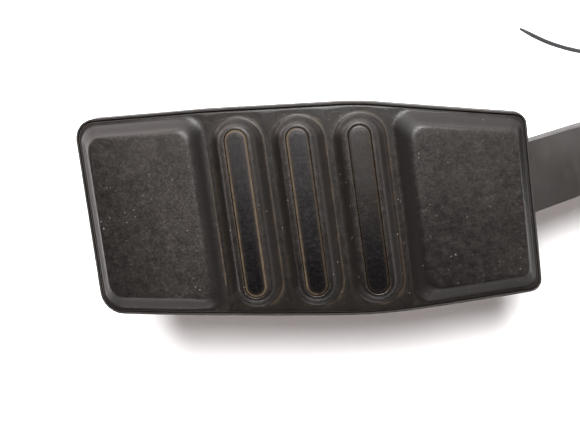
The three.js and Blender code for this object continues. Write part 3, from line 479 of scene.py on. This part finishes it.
def moulded_nylon(name="moulded_nylon", dark=(0.0095, 0.0083, 0.0078), light=(0.018, 0.0158, 0.0147)):
    n = Nodes(name)
    blotch = n.noise(32.0, 5.0, 0.6)
    base = n.mix(n.ramp(blotch, [(0.3, 0.0), (0.75, 1.0)]), dark, light)
    streak = n.noise(180.0, 3.0, 0.7, n.coords((1, 0.3, 1)))
    streak = n.math("MULTIPLY", n.ramp(streak, [(0.5, 0.0), (0.85, 1.0)]), 0.3)
    base = n.mix(streak, base, (0.05, 0.044, 0.04))
    rough = n.ramp(n.noise(60.0, 3.0), [(0.3, 0.54), (0.7, 0.68)])
    normal = n.bump(n.noise(1900.0, 3.0, 0.6), 0.4, 0.00006)
    return n.finish(base, rough, normal, Specular_IOR_Level=0.4)


def metal(name, color, rough_low, rough_high, stretch=(1, 1, 1)):
    n = Nodes(name)
    shade = n.noise(160.0, 4.0, 0.6, n.coords(stretch))
    dark = tuple(c * 0.72 for c in color)
    base = n.mix(shade, dark, color)
    rough = n.ramp(n.noise(320.0, 3.0, 0.6, n.coords(stretch)), [(0.3, rough_low), (0.7, rough_high)])
    normal = n.bump(n.noise(1500.0, 2.0, 0.5, n.coords(stretch)), 0.15, 0.00004)
    return n.finish(base, rough, normal, Metallic=1.0)


def smooth_plastic(name, color, rough, spread=0.12, scale=50.0):
    n = Nodes(name)
    darker = tuple(c * (1 - spread) for c in color)
    lighter = tuple(min(c * (1 + spread), 1) for c in color)
    base = n.mix(n.noise(scale, 4.0), darker, lighter)
    level = n.ramp(n.noise(scale * 2, 3.0), [(0.3, rough - 0.06), (0.7, rough + 0.06)])
    normal = n.bump(n.noise(1400.0, 2.0), 0.12, 0.00004)
    return n.finish(base, level, normal)


MATERIALS = {
    "tread": tread_plastic(),
    "grip": grip_plastic(),
    "moulded_nylon": moulded_nylon(),
    "plain_steel": metal("zinc_steel", (0.42, 0.41, 0.38), 0.3, 0.48),
    "spring_steel": metal("spring_steel", (0.2, 0.2, 0.21), 0.3, 0.5),
    "natural_acetal": smooth_plastic("natural_acetal", (0.62, 0.57, 0.45), 0.36),
    "bumper_rubber": smooth_plastic("bumper_rubber", (0.02, 0.02, 0.02), 0.75),
    "magnet": metal("ferrite", (0.12, 0.12, 0.13), 0.5, 0.7),
    "seal": smooth_plastic("silicone_seal", (0.3, 0.08, 0.04), 0.6),
    "board": smooth_plastic("solder_mask", (0.03, 0.14, 0.07), 0.35, 0.2, 300.0),
    "chip": smooth_plastic("chip_compound", (0.013, 0.013, 0.013), 0.55),
    "terminal": metal("tinned_brass", (0.72, 0.6, 0.32), 0.22, 0.4),
    "tie_nylon": smooth_plastic("tie_nylon", (0.014, 0.014, 0.016), 0.42),
}

# ---------------------------------------------------------------- foot pad

ARC_STEPS = 6
TALL = 44  # straight steps across the pad, the same in every cell so that they meet
WIDE = 34
FLANK_STEPS = 9
VALLEY_STEPS = 4
EDGE_ROUND = 0.3
STUD_SIDES = 24
cover_edge = inset(PAD_OUTLINE, COVER_INSET + EDGE_ROUND)


def rounded_outline(corners, steps=24):
    points = []
    for i in range(len(corners)):
        centre, radius, start, turn = corner_arc(corners, i)
        for k in range(steps + 1):
            angle = start + turn * k / steps
            points.append((centre.x + radius * math.cos(angle), centre.y + radius * math.sin(angle), 0))
    return points


cover_line = rounded_outline(cover_edge)


def edge_row(x0, x1, upper, count):
    """Points along the cover's long edge, without the last one."""
    xs = [x0 + (x1 - x0) * k / count for k in range(count)]
    return [Vector((x, side_at(cover_line, x, upper))) for x in xs]


def seam_row(x, upwards, count):
    """Evenly spaced points on the line between two cells, without the last one."""
    low, high = side_at(cover_line, x, False), side_at(cover_line, x, True)
    start, end = (low, high) if upwards else (high, low)
    return [Vector((x, start + (end - start) * k / count)) for k in range(count)]


def corner_row(corner, x_seam, at_start, count):
    """Points from the middle of a corner's arc along the cover's long edge to a seam."""
    centre, radius, start, turn = corner_arc(cover_edge, corner)
    upper = centre.y > 0
    half = -turn / 2 if at_start else turn / 2
    row = []
    for k in range(ARC_STEPS + 1):
        angle = start + turn / 2 + half * k / ARC_STEPS
        row.append(centre + radius * Vector((math.cos(angle), math.sin(angle))))
    x_arc = row[-1].x
    run = count - ARC_STEPS
    for k in range(1, run + 1):
        x = x_arc + (x_seam - x_arc) * k / run
        row.append(Vector((x, side_at(cover_line, x, upper))))
    return row


def add_rings(surface, rings, foot, outer):
    """Joins the given rings, and then the foot to the cell's outer loop."""
    for k in range(1, VALLEY_STEPS + 1):
        share = k / VALLEY_STEPS
        rings.append(surface.ring(foot.mixed(outer, share), 0, 0.06 * (1 - share) ** 2))
    for inner, outside in zip(rings, rings[1:]):
        surface.join(inner, outside)


def rib_cell(surface, place, x0, x1):
    """One long rib with the slot for its grip strip, out to the seams on both sides."""
    across = TALL + 2 * ARC_STEPS
    along = 2 * ARC_STEPS + 2
    outer = Loop(
        seam_row(x1, True, across),
        edge_row(x1, x0, True, along),
        seam_row(x0, False, across),
        edge_row(x0, x1, False, along),
    )

    def loop(radius):
        """The rib's flanks are wider at its sides than at its ends."""
        length = SLOT_LENGTH - 0.5 * (radius - SLOT_R)
        return Loop.rounded(stadium_corners(*place, length, radius), ARC_STEPS, TALL, 2)

    def foot_dirt(p):
        """Dust lies along the foot of the rib's right side."""
        return 0.3 if p.x > place[0] else 0.08

    profile = [
        # growth from the slot's outline, height, dust
        (0.0, -COVER_T, 0.0),
        (0.0, 0.6, 0.0),
        (0.0, TREAD_H - 0.3, 0.1),
        (0.07, TREAD_H - 0.1, 0.25),
        (0.22, TREAD_H - 0.02, 0.1),
        (0.5, TREAD_H - 0.02, 0.0),
        (0.8, TREAD_H - 0.06, 0.0),
    ]
    start = SLOT_R + profile[-1][0]
    rib_top = profile[-1][1]
    for k in range(1, FLANK_STEPS + 1):
        t = k / FLANK_STEPS
        dust = foot_dirt if t == 1 else 0.06 * t
        profile.append((start + (FOOT_R - start) * t - SLOT_R, rib_top * ease(t), dust))
    rings = [surface.ring(loop(SLOT_R + grow), height, dust) for grow, height, dust in profile]
    add_rings(surface, rings, loop(FOOT_R), outer)


def platform_cell(surface, x_seam, toe):
    """The raised platform at one end of the pad, out to the seam and the cover's edge."""
    across = TALL + 2 * ARC_STEPS
    along = WIDE + 2 * ARC_STEPS
    outline = inset(PAD_OUTLINE, PLATFORM_MARGIN)
    if toe:
        foot_x = (PAD_OUTLINE[0][0] + PLATFORM_MARGIN, PLATFORM_FOOT[0])
        runs = (TOE_END_RUN, PLATFORM_INNER_RUN)
        radii, lean = TOE_CORNERS, 0
        outer = Loop(
            seam_row(x_seam, True, across),
            corner_row(6, x_seam, True, along)[:0:-1],
            loop_side(cover_edge, 6, 0, ARC_STEPS, TALL),
            corner_row(0, x_seam, False, along)[:-1],
        )
    else:
        foot_x = (PLATFORM_FOOT[1], PAD_OUTLINE[2][0] - PLATFORM_MARGIN)
        runs = (PLATFORM_INNER_RUN, HEEL_END_RUN)
        radii, lean = HEEL_CORNERS, HEEL_LEAN
        outer = Loop(
            loop_side(cover_edge, 2, 3, ARC_STEPS, TALL),
            corner_row(3, x_seam, False, along)[:-1],
            seam_row(x_seam, False, across),
            corner_row(2, x_seam, True, along)[:0:-1],
        )

    def loop(share):
        """The platform's outline between its top edge, at 0, and its foot, at 1."""
        x0 = foot_x[0] + runs[0] * (1 - share)
        x1 = foot_x[1] - runs[1] * (1 - share)
        side = PLATFORM_SIDE_RUN * (1 - share)
        corners = [
            (x0, side_at(outline, x0, False) + side),
            (x1, side_at(outline, x1, False) + side),
            (x1 + lean, side_at(outline, x1, True) - side),
            (x0, side_at(outline, x0, True) - side),
        ]
        rounded = [(*corner, radius * (0.9 + 0.1 * share)) for corner, radius in zip(corners, radii)]
        return Loop.rounded(rounded, ARC_STEPS, TALL, WIDE)

    def foot_dirt(p):
        """A thin brown line along the foot of the toe platform's inner flank."""
        return 0.45 - p.y / 90 if toe and p.x > foot_x[1] - 1 and abs(p.y - 4) < 25 else 0.05

    top = loop(-0.2)
    rings = [surface.ring(top, TREAD_H)]
    surface.fill(rings[0], top, TREAD_H)
    for k in range(FLANK_STEPS + 4):
        t = k / (FLANK_STEPS + 3)

        def height(p, t=t):
            """The toe platform's inner flank is rounder than the outer ones."""
            inner = min(max((p.x - foot_x[1] + 12) / 6, 0), 1) if toe else 0
            return TREAD_H * ease(t, 0.2 + 0.25 * inner, 0.2 + 0.3 * inner)

        rings.append(surface.ring(loop(t), height, foot_dirt if t == 1 else 0.0))
    add_rings(surface, rings, loop(1.0), outer)


def ordered_loop(edges):
    """The vertices of a closed row of edges, in order."""
    first = edges[0].verts[0]
    row = [first]
    edge = edges[0]
    allowed = set(edges)
    while True:
        vertex = edge.other_vert(row[-1])
        if vertex is first:
            return row
        row.append(vertex)
        edge = next(e for e in vertex.link_edges if e in allowed and e is not edge)


def close_cover(surface):
    """Rounds the cover's outer edge, drops its side and closes it underneath."""
    bm = surface.bm
    open_edges = [e for e in bm.edges if e.is_boundary]
    at_top = [e for e in open_edges if all(v.co.z > on_crown(v.co.x, 0, -COVER_T / 2).z for v in e.verts)]
    row = ordered_loop(at_top)
    flat = [Vector(v.co.xy) for v in row]
    area = sum(a.cross(b) for a, b in zip(flat, flat[1:] + flat[:1]))
    if area < 0:
        row.reverse()
        flat.reverse()
    profile = [
        # share of the edge's rounding outwards, drop below the surface, dust
        (0.5, 0.05, 0.0),
        (0.87, 0.18, 0.0),
        (1.0, EDGE_ROUND, 0.1),
        (1.0, COVER_T, 0.0),
    ]
    for part, drop, dust in profile:
        ring = []
        for i, place in enumerate(flat):
            along = (flat[(i + 1) % len(flat)] - flat[i - 1]).normalized()
            out = Vector((along.y, -along.x))
            target = place + out * EDGE_ROUND * part
            ring.append(surface.vertex(target.x, target.y, -drop, dust))
        surface.join(row, ring)
        row = ring
    bmesh.ops.triangle_fill(bm, use_beauty=True, edges=[e for e in bm.edges if e.is_boundary])


def add_stud(bm, x, y):
    """A stud behind the cover, with a rounded tip, for a push-on retainer."""
    surface_z = on_crown(x, y, 0).z
    profile = [
        # radius, depth below the tread's surface; it starts inside the cover
        (STUD_R, COVER_T - 0.6),
        (STUD_R, STUD_LENGTH - 0.6),
        (STUD_R - 0.12, STUD_LENGTH - 0.25),
        (STUD_R - 0.45, STUD_LENGTH),
    ]
    rows = []
    for radius, depth in profile:
        row = []
        for i in range(STUD_SIDES):
            angle = math.tau * i / STUD_SIDES
            place = (x + radius * math.cos(angle), y + radius * math.sin(angle), surface_z - depth)
            row.append(bm.verts.new(place))
        rows.append(row)
    tube(bm, rows)


def tread_cover():
    surface = Surface()
    seams = [(PLATFORM_FOOT[0] + RIBS[0][0] - FOOT_R) / 2]
    seams += [(RIBS[i][0] + RIBS[i + 1][0]) / 2 for i in (0, 1)]
    seams.append((PLATFORM_FOOT[1] + RIBS[2][0] + FOOT_R) / 2)
    platform_cell(surface, seams[0], True)
    for i, place in enumerate(RIBS):
        rib_cell(surface, place, seams[i], seams[i + 1])
    platform_cell(surface, seams[3], False)
    bmesh.ops.remove_doubles(surface.bm, verts=surface.bm.verts, dist=0.005)
    close_cover(surface)
    for x, y in STUDS:
        add_stud(surface.bm, x, y)
    piece = finish_piece("tread_cover_skin", surface.bm, PAD_FRAME, "pedal", MATERIALS["tread"], 50)
    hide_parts("tread_cover")


def grip_strip(i, place):
    """A long strip with round ends, let into a rib's slot."""
    surface = Surface()

    def loop(radius):
        return Loop.rounded(stadium_corners(*place, SLOT_LENGTH, radius), ARC_STEPS, TALL, 2)

    left_dirt, right_dirt = ((1.0, 1.0), (0.95, 0.4), (0.1, 0.2))[i]

    def film(p):
        """The last strip has a thin film of dust on its upper half."""
        return 0.07 * min(max((p.y + 14) / 20, 0), 1) if i == 2 else 0

    profile = [
        # shrink from the strip's outline, height, dust
        (0.0, 0.1 - COVER_T, 0.3),
        (0.0, TREAD_H - 0.8, 0.6),
        (0.05, TREAD_H - 0.5, 1.0),
        (0.25, TREAD_H - 0.34, 1.0),
        (0.45, TREAD_H - 0.27, 0.9),
        (0.65, TREAD_H - 0.23, 0.5),
        (0.9, TREAD_H - 0.2, 0.1),
        (1.8, TREAD_H - 0.18, 0.0),
    ]

    def ring(shrink, height, dust):
        """One ring of the strip, with more dirt at one side than at the other."""
        line = loop(STRIP_R - shrink)
        return surface.ring(
            line, height, lambda p: film(p) + dust * (left_dirt if p.x < place[0] else right_dirt)
        )

    rings = [ring(*row) for row in profile]
    for outside, inner in zip(rings, rings[1:]):
        surface.join(inner, outside)
    surface.fill(rings[-1], loop(STRIP_R - profile[-1][0]), TREAD_H - 0.17, film)
    surface.bm.faces.new(rings[0])
    name = f"grip_strip_{i + 1}"
    piece = finish_piece(name, surface.bm, PAD_FRAME, "pedal", MATERIALS["grip"], 50)
    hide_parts(f"grip_insert_{i + 1}")


tread_cover()
for i, place in enumerate(RIBS):
    grip_strip(i, place)

# ---------------------------------------------------------------- coil springs

SPRING_Z = 19
SPRING_X = (3.4, 46)
OUTER_SPRING = {"radius": 8.2, "wire": 2, "turns": 5.5}
INNER_SPRING = {"radius": 4.7, "wire": 1.3, "turns": 7}
WIRE_STEPS = 36  # per turn
WIRE_SIDES = 14


def coil_point(radius, wire, turns, turn):
    """The wire's middle after so many turns; the end turns lie almost closed."""
    start, end = SPRING_X[0] + wire / 2, SPRING_X[1] - wire / 2
    closed = wire * 1.05
    opened = (end - start - 2 * closed) / (turns - 2)
    middle = min(max(turn - 1, 0), turns - 2)
    x = start + closed * (min(turn, 1) + max(turn - turns + 1, 0)) + opened * middle
    angle = turn * math.tau
    return Vector((x, radius * math.cos(angle), SPRING_Z + radius * math.sin(angle)))


def coil_spring(name, node, radius, wire, turns):
    bm = bmesh.new()
    rows = []
    steps = round(turns * WIRE_STEPS)
    for k in range(steps + 1):
        turn = turns * k / steps
        here = coil_point(radius, wire, turns, turn)
        ahead = coil_point(radius, wire, turns, min(turn + 0.01, turns))
        behind = coil_point(radius, wire, turns, max(turn - 0.01, 0))
        along = (ahead - behind).normalized()
        outwards = Vector((0, here.y, here.z - SPRING_Z)).normalized()
        across = along.cross(outwards)
        share = 0.82 if k in (0, steps) else 1
        row = []
        for i in range(WIRE_SIDES):
            angle = math.tau * i / WIRE_SIDES
            offset = outwards * math.cos(angle) + across * math.sin(angle)
            row.append(bm.verts.new(here + offset * wire / 2 * share))
        rows.append(row)
    tube(bm, rows)
    piece = finish_piece(name, bm, Matrix(), "housing_body", MATERIALS["spring_steel"], 50)
    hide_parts(node)
    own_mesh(piece)


coil_spring("outer_coil", "return_spring_outer", **OUTER_SPRING)
coil_spring("inner_coil", "return_spring_inner", **INNER_SPRING)

# ---------------------------------------------------------------- screws

SCREW_SIDES = 48
HEAD_R = 3.25
HEAD_T = 2.35
SHANK_R = 1.46
THREAD_PITCH = 1.3
THREAD_DEPTH = 0.2
STEPS_PER_PITCH = 8
DOME_TOP_R = 1.75
DOME_EDGE = 0.75  # height of the dome's lower edge over the bearing face
DOME_STEPS = 6
RECESS = [
    # radius, depth below the top of the head; from the recess's floor outwards
    (0.35, 1.5),
    (1.3, 1.3),
    (1.33, 0.16),
    (1.45, 0.02),
]
COVER_SCREWS = [(-25, 8.5), (47.5, 8.5), (47.5, 31), (17, 57)]
COVER_FACE_Y = -27.3
COVER_SHANK = 12.4
SENSOR_SCREWS = [(-13, 27), (-13, 57), (27, 46)]
LID_FACE_Y = 41.3
SENSOR_SHANK = 20


def lobed(radius, angle):
    """Radius of a six-lobed recess at an angle."""
    return radius * (1 + 0.13 * math.cos(6 * angle))


def screw(name, node, x, z, face_y, into, length):
    """Thread-forming screw with a domed head and a six-lobed recess; `into` is the way it points."""
    bm = bmesh.new()

    def row(radius_at, height):
        """height is measured outwards from the bearing face."""
        verts = []
        for i in range(SCREW_SIDES):
            angle = math.tau * i / SCREW_SIDES
            radius = radius_at(angle)
            place = (x + radius * math.cos(angle), face_y - into * height, z + radius * math.sin(angle))
            verts.append(bm.verts.new(place))
        return verts

    def plain(radius, height):
        return row(lambda angle: radius, height)

    rows = [row(lambda angle, r=radius: lobed(r, angle), HEAD_T - depth) for radius, depth in RECESS]
    for k in range(DOME_STEPS + 1):
        turn = math.pi / 2 * k / DOME_STEPS
        radius = DOME_TOP_R + (HEAD_R - DOME_TOP_R) * math.sin(turn)
        rows.append(plain(radius, DOME_EDGE + (HEAD_T - DOME_EDGE) * math.cos(turn) ** 0.8))
    rows.append(plain(HEAD_R, 0.2))
    rows.append(plain(HEAD_R - 0.2, 0.0))
    rows.append(plain(SHANK_R + 0.15, 0.0))
    rows.append(plain(SHANK_R - THREAD_DEPTH, -0.15))
    steps = round((length - 1.5) / THREAD_PITCH * STEPS_PER_PITCH)
    for k in range(steps):
        depth = 0.4 + (length - 1.5) * k / steps

        def thread(angle, depth=depth, k=k):
            wave = (math.cos(math.tau * depth / THREAD_PITCH - angle * into) + 1) / 2
            fade = min(1, k / STEPS_PER_PITCH, (steps - k) / STEPS_PER_PITCH)
            return SHANK_R - THREAD_DEPTH + THREAD_DEPTH * wave ** 2 * fade

        rows.append(row(thread, -depth))
    rows.append(plain(SHANK_R - THREAD_DEPTH - 0.05, -(length - 0.9)))
    rows.append(plain(0.5, -(length - 0.05)))
    tube(bm, rows)
    piece = finish_piece(name, bm, Matrix(), "housing_body", MATERIALS["plain_steel"], 35)
    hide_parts(node)


for i, (x, z) in enumerate(COVER_SCREWS):
    screw(f"cover_fixing_{i + 1}", f"cover_screw_{i + 1}", x, z, COVER_FACE_Y, 1, COVER_SHANK)
for i, (x, z) in enumerate(SENSOR_SCREWS):
    screw(f"sensor_fixing_{i + 1}", f"sensor_screw_{i + 1}", x, z, LID_FACE_Y, -1, SENSOR_SHANK)

# ---------------------------------------------------------------- cable tie

TIE_T = 1.4
TIE_W = 2.5
TIE_TAIL = [
    # x, y, z of the strap's middle line, from the head to the tip
    (-28, 25.8, 50),
    (-42, 19.2, 51),
    (-58, 14.8, 52),
    (-74, 13, 53),
    (-90, 14.3, 54),
    (-102, 17.6, 55),
    (-112, 21.9, 56),
    (-121, 27.8, 57),
]
TIE_STEPS = 300
TOOTHED_SHARE = 0.8
TIP_SHARE = 0.93
LOOP_X = (-29.85, -22.95)  # the strap's middle line round the sensor's eye
LOOP_Y = (27.15, 32.65)
LOOP_T = 1.0
LOOP_R = 1.9
LOOP_ARC_STEPS = 8
HEAD_SIZE = (4.6, 4.0, 4.8)
HEAD_XY = (-29.3, 25.6)
HEAD_TAPER_Y = 25  # the head's corners below this are drawn in
HEAD_TAPER = (0.35, 0.4)  # by this much along x and z


def tail_point(t):
    """A smooth curve through the tail's points; t runs from 0 to 1."""
    last = len(TIE_TAIL) - 1
    i = min(int(t * last), last - 1)
    u = t * last - i
    p = [Vector(TIE_TAIL[min(max(i + k, 0), last)]) for k in (-1, 0, 1, 2)]
    a = 2 * p[1]
    b = p[2] - p[0]
    c = 2 * p[0] - 5 * p[1] + 4 * p[2] - p[3]
    d = 3 * p[1] - p[0] - 3 * p[2] + p[3]
    return (a + b * u + c * u * u + d * u ** 3) / 2


def strap_row(bm, here, outwards, up, thick, wide, notch=0.0):
    """A strap's rounded section; notch lowers the middle of its inner face."""
    t, w = thick / 2, wide / 2
    r = min(0.22, t * 0.6)
    section = [
        (-t + notch, -w * 0.62),
        (-t + notch, w * 0.62),
        (-t, w * 0.68),
        (-t, w - r),
        (-t + r, w),
        (t - r, w),
        (t, w - r),
        (t, -w + r),
        (t - r, -w),
        (-t + r, -w),
        (-t, -w + r),
        (-t, -w * 0.68),
    ]
    return [bm.verts.new(here + outwards * a + up * b) for a, b in section]


def cable_tie():
    bm = bmesh.new()
    up = Vector((0, 0, 1))
    rows = []
    for k in range(TIE_STEPS + 1):
        t = k / TIE_STEPS
        here = tail_point(t)
        along = (tail_point(min(t + 0.004, 1)) - tail_point(max(t - 0.004, 0))).normalized()
        outwards = along.cross(up).normalized()
        upright = outwards.cross(along)
        tip = max(0, (t - TIP_SHARE) / (1 - TIP_SHARE))
        wide = TIE_W * (1 - 0.55 * tip ** 1.5)
        thick = TIE_T * (1 - 0.45 * tip)
        notch = 0.22 if k % 3 == 0 and 0.04 < t < TOOTHED_SHARE else 0.0
        rows.append(strap_row(bm, here, outwards, upright, thick, wide, notch))
    tube(bm, rows)

    level = TIE_TAIL[0][2]
    (x0, x1), (y0, y1) = LOOP_X, LOOP_Y
    corners = [(x0, y0, LOOP_R), (x1, y0, LOOP_R), (x1, y1, LOOP_R), (x0, y1, LOOP_R)]
    ring = []
    for i in range(4):
        centre, radius, start, turn = corner_arc(corners, i)
        for k in range(LOOP_ARC_STEPS + 1):
            angle = start + turn * k / LOOP_ARC_STEPS
            out = Vector((math.cos(angle), math.sin(angle), 0))
            ring.append((centre.to_3d() + out * radius + up * level, out))
    rows = [strap_row(bm, here, out, up, LOOP_T, TIE_W) for here, out in ring]
    tube(bm, rows + rows[:1], close_ends=False)

    head = bmesh.ops.create_cube(bm, size=1)["verts"]
    bmesh.ops.scale(bm, vec=HEAD_SIZE, verts=head)
    bmesh.ops.translate(bm, vec=(*HEAD_XY, level), verts=head)
    for vert in head:
        if vert.co.y < HEAD_TAPER_Y:
            vert.co.x += HEAD_TAPER[0] if vert.co.x < HEAD_XY[0] else -HEAD_TAPER[0]
            vert.co.z += HEAD_TAPER[1] if vert.co.z < level else -HEAD_TAPER[1]
    edges = list({edge for vert in head for edge in vert.link_edges})
    bmesh.ops.bevel(bm, geom=edges, offset=0.45, segments=3, profile=0.5, affect="EDGES")
    piece = finish_piece("tie_strap", bm, Matrix(), "housing_body", MATERIALS["tie_nylon"], 40)
    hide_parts("cable_tie")


cable_tie()

# ---------------------------------------------------------------- CAD nodes


def soften(name, width=0.25, segments=2, angle=32):
    """Smooth shading and small rounded edges on a CAD node."""
    node = NODES[name]
    node.data.shade_smooth()
    node.data.set_sharp_from_angle(angle=math.radians(angle))
    weld = node.modifiers.new("weld", "WELD")
    weld.merge_threshold = 0.002 * MM
    flat = node.modifiers.new("flat", "DECIMATE")
    flat.decimate_type = "DISSOLVE"
    flat.angle_limit = math.radians(0.6)
    bevel = node.modifiers.new("edges", "BEVEL")
    bevel.width = width * MM
    bevel.segments = segments
    bevel.limit_method = "ANGLE"
    bevel.angle_limit = math.radians(angle)
    bevel.harden_normals = True
    bevel.miter_outer = "MITER_ARC"


SLOTS = {entry["node"]: entry["material_slot"] for entry in frame["record"]["subparts"]}
for name, node in NODES.items():
    node.data.materials.clear()
    node.data.materials.append(MATERIALS[SLOTS[name]])
    soften(name)

# ---------------------------------------------------------------- camera, floor and light

VIEW_ROLL = math.radians(7.7)
VIEW_TILT = math.radians(8)
VIEW_TURN = math.radians(3)
VIEW_DISTANCE = 0.43
KEY_PLACE = (0.01, 0.47, 1.26)
PAD_AIM = (-0.19, -0.02, 0.09)  # most lamps point here, at the pad
WINDOW_TINT = (1, 0.91, 0.9)
SENSOR = 36
LENS = 82.12
SHIFT = (-0.0397, -0.0095)  # in picture widths, so that the pad's crown lies right of the centre and above it


def camera():
    right_flat = Vector((math.cos(VIEW_ROLL), -math.sin(VIEW_ROLL), 0))
    up_flat = Vector((math.sin(VIEW_ROLL), math.cos(VIEW_ROLL), 0))
    back = Vector((0, 0, 1)) * math.cos(VIEW_TILT) * math.cos(VIEW_TURN)
    back = (back + up_flat * math.sin(VIEW_TILT) + right_flat * math.sin(VIEW_TURN)).normalized()
    right = up_flat.cross(back).normalized()
    up = back.cross(right)
    axes = Matrix((right, up, back)).transposed().to_4x4()
    data = bpy.data.cameras.new("camera")
    data.sensor_width = SENSOR
    data.lens = LENS
    data.shift_x, data.shift_y = SHIFT
    data.clip_start = 0.01
    eye = bpy.data.objects.new("camera", data)
    eye.matrix_world = PAD_FRAME @ Matrix.Translation(back * VIEW_DISTANCE) @ axes
    bpy.context.scene.collection.objects.link(eye)
    bpy.context.scene.camera = eye


def add_lamp(name, shape, place, target, size, watts):
    """An area lamp turned towards its target and hidden from the camera."""
    data = bpy.data.lights.new(name, "AREA")
    data.shape = shape
    data.size, data.size_y = size
    data.energy = watts
    lamp = bpy.data.objects.new(name, data)
    lamp.location = place
    lamp.rotation_euler = (Vector(target) - Vector(place)).to_track_quat("-Z", "Y").to_euler()
    lamp.visible_camera = False
    bpy.context.scene.collection.objects.link(lamp)
    return lamp


def window(name, place, target, size, watts, lights_matt=False):
    """A rectangular lamp with a faint warm tint; without lights_matt it is only seen in reflections."""
    lamp = add_lamp(name, "RECTANGLE", place, target, size, watts)
    lamp.data.color = WINDOW_TINT
    lamp.visible_diffuse = lights_matt


def key_light(name, diameter, watts, shines):
    """A round lamp; one that doesn't shine lights the matt parts but makes no highlight."""
    lamp = add_lamp(name, "DISK", KEY_PLACE, PAD_AIM, (diameter, diameter), watts)
    lamp.visible_glossy = shines


def floor():
    mesh = bpy.data.meshes.new("floor")
    reach = 3.0
    corners = [(-reach, -reach, 0), (reach, -reach, 0), (reach, reach, 0), (-reach, reach, 0)]
    mesh.from_pydata(corners, [], [(0, 1, 2, 3)])
    piece = bpy.data.objects.new("floor", mesh)
    bpy.context.scene.collection.objects.link(piece)
    piece.location.z = -0.2 * MM
    n = Nodes("pale_floor")
    shade = n.noise(3.0, 3.0, 0.5)
    distance = n.add("VectorMath", {"operation": "LENGTH"})
    n.put(distance.inputs[0], n.coords())
    share = n.math("DIVIDE", distance.outputs["Value"], reach)
    # The floor glows, more the further it lies from the pad: painted light that keeps its far part pale where
    # the lamps fall off.
    n.put(n.shader.inputs["Emission Color"], n.ramp(share, [(0.25, 0.0), (0.7, 0.85)]))
    n.finish(
        n.mix(shade, (0.8, 0.795, 0.795), (0.84, 0.835, 0.835)),
        n.ramp(shade, [(0.3, 0.7), (0.7, 0.8)]),
        Emission_Strength=1.0,
    )
    mesh.materials.append(n.material)


def sky():
    """A dim room: dark overhead, paler at the horizon and palest towards +Y."""
    world = bpy.data.worlds.new("soft_room")
    world.use_nodes = True
    tree = world.node_tree
    back = tree.nodes["Background"]
    place = tree.nodes.new("ShaderNodeTexCoord")
    parts = tree.nodes.new("ShaderNodeSeparateXYZ")
    ramp = tree.nodes.new("ShaderNodeValToRGB")
    glow = tree.nodes.new("ShaderNodeMapRange")
    glow.inputs["From Min"].default_value = 0.1
    glow.inputs["From Max"].default_value = 0.95
    glow.inputs["To Min"].default_value = 1.0
    glow.inputs["To Max"].default_value = 2.6
    tree.links.new(place.outputs["Generated"], parts.inputs[0])
    tree.links.new(parts.outputs["Z"], ramp.inputs["Fac"])
    tree.links.new(ramp.outputs["Color"], back.inputs["Color"])
    tree.links.new(parts.outputs["Y"], glow.inputs["Value"])
    tree.links.new(glow.outputs["Result"], back.inputs["Strength"])
    stops = ramp.color_ramp.elements
    band = stops.new(0.16)
    stops[0].position, stops[0].color = 0.02, (1.02, 0.94, 0.92, 1)
    band.color = (0.38, 0.34, 0.325, 1)
    stops[2].position, stops[2].color = 0.42, (0.058, 0.048, 0.045, 1)
    bpy.context.scene.world = world


camera()
floor()
sky()
bpy.context.scene.view_settings.view_transform = "Standard"
key_light("key", 0.44, 15, True)
key_light("key_matt", 0.47, 45, False)
window("back_window", (-0.1, 1.22, 0.74), PAD_AIM, (1.6, 0.55), 12, lights_matt=True)
window("corner_window", (-0.95, 0.95, 0.55), (-0.25, -0.02, 0.09), (1.1, 0.45), 6)
window("front_strip", (-0.45, -1.12, 0.52), PAD_AIM, (0.9, 0.3), 3.6)
window("left_strip", (-0.78, 0.05, 0.15), (-0.27, -0.03, 0.1), (0.65, 0.14), 2.4)
window("right_strip", (0.2, -0.02, 0.14), (-0.121, -0.02, 0.09), (0.4, 0.12), 0.26)
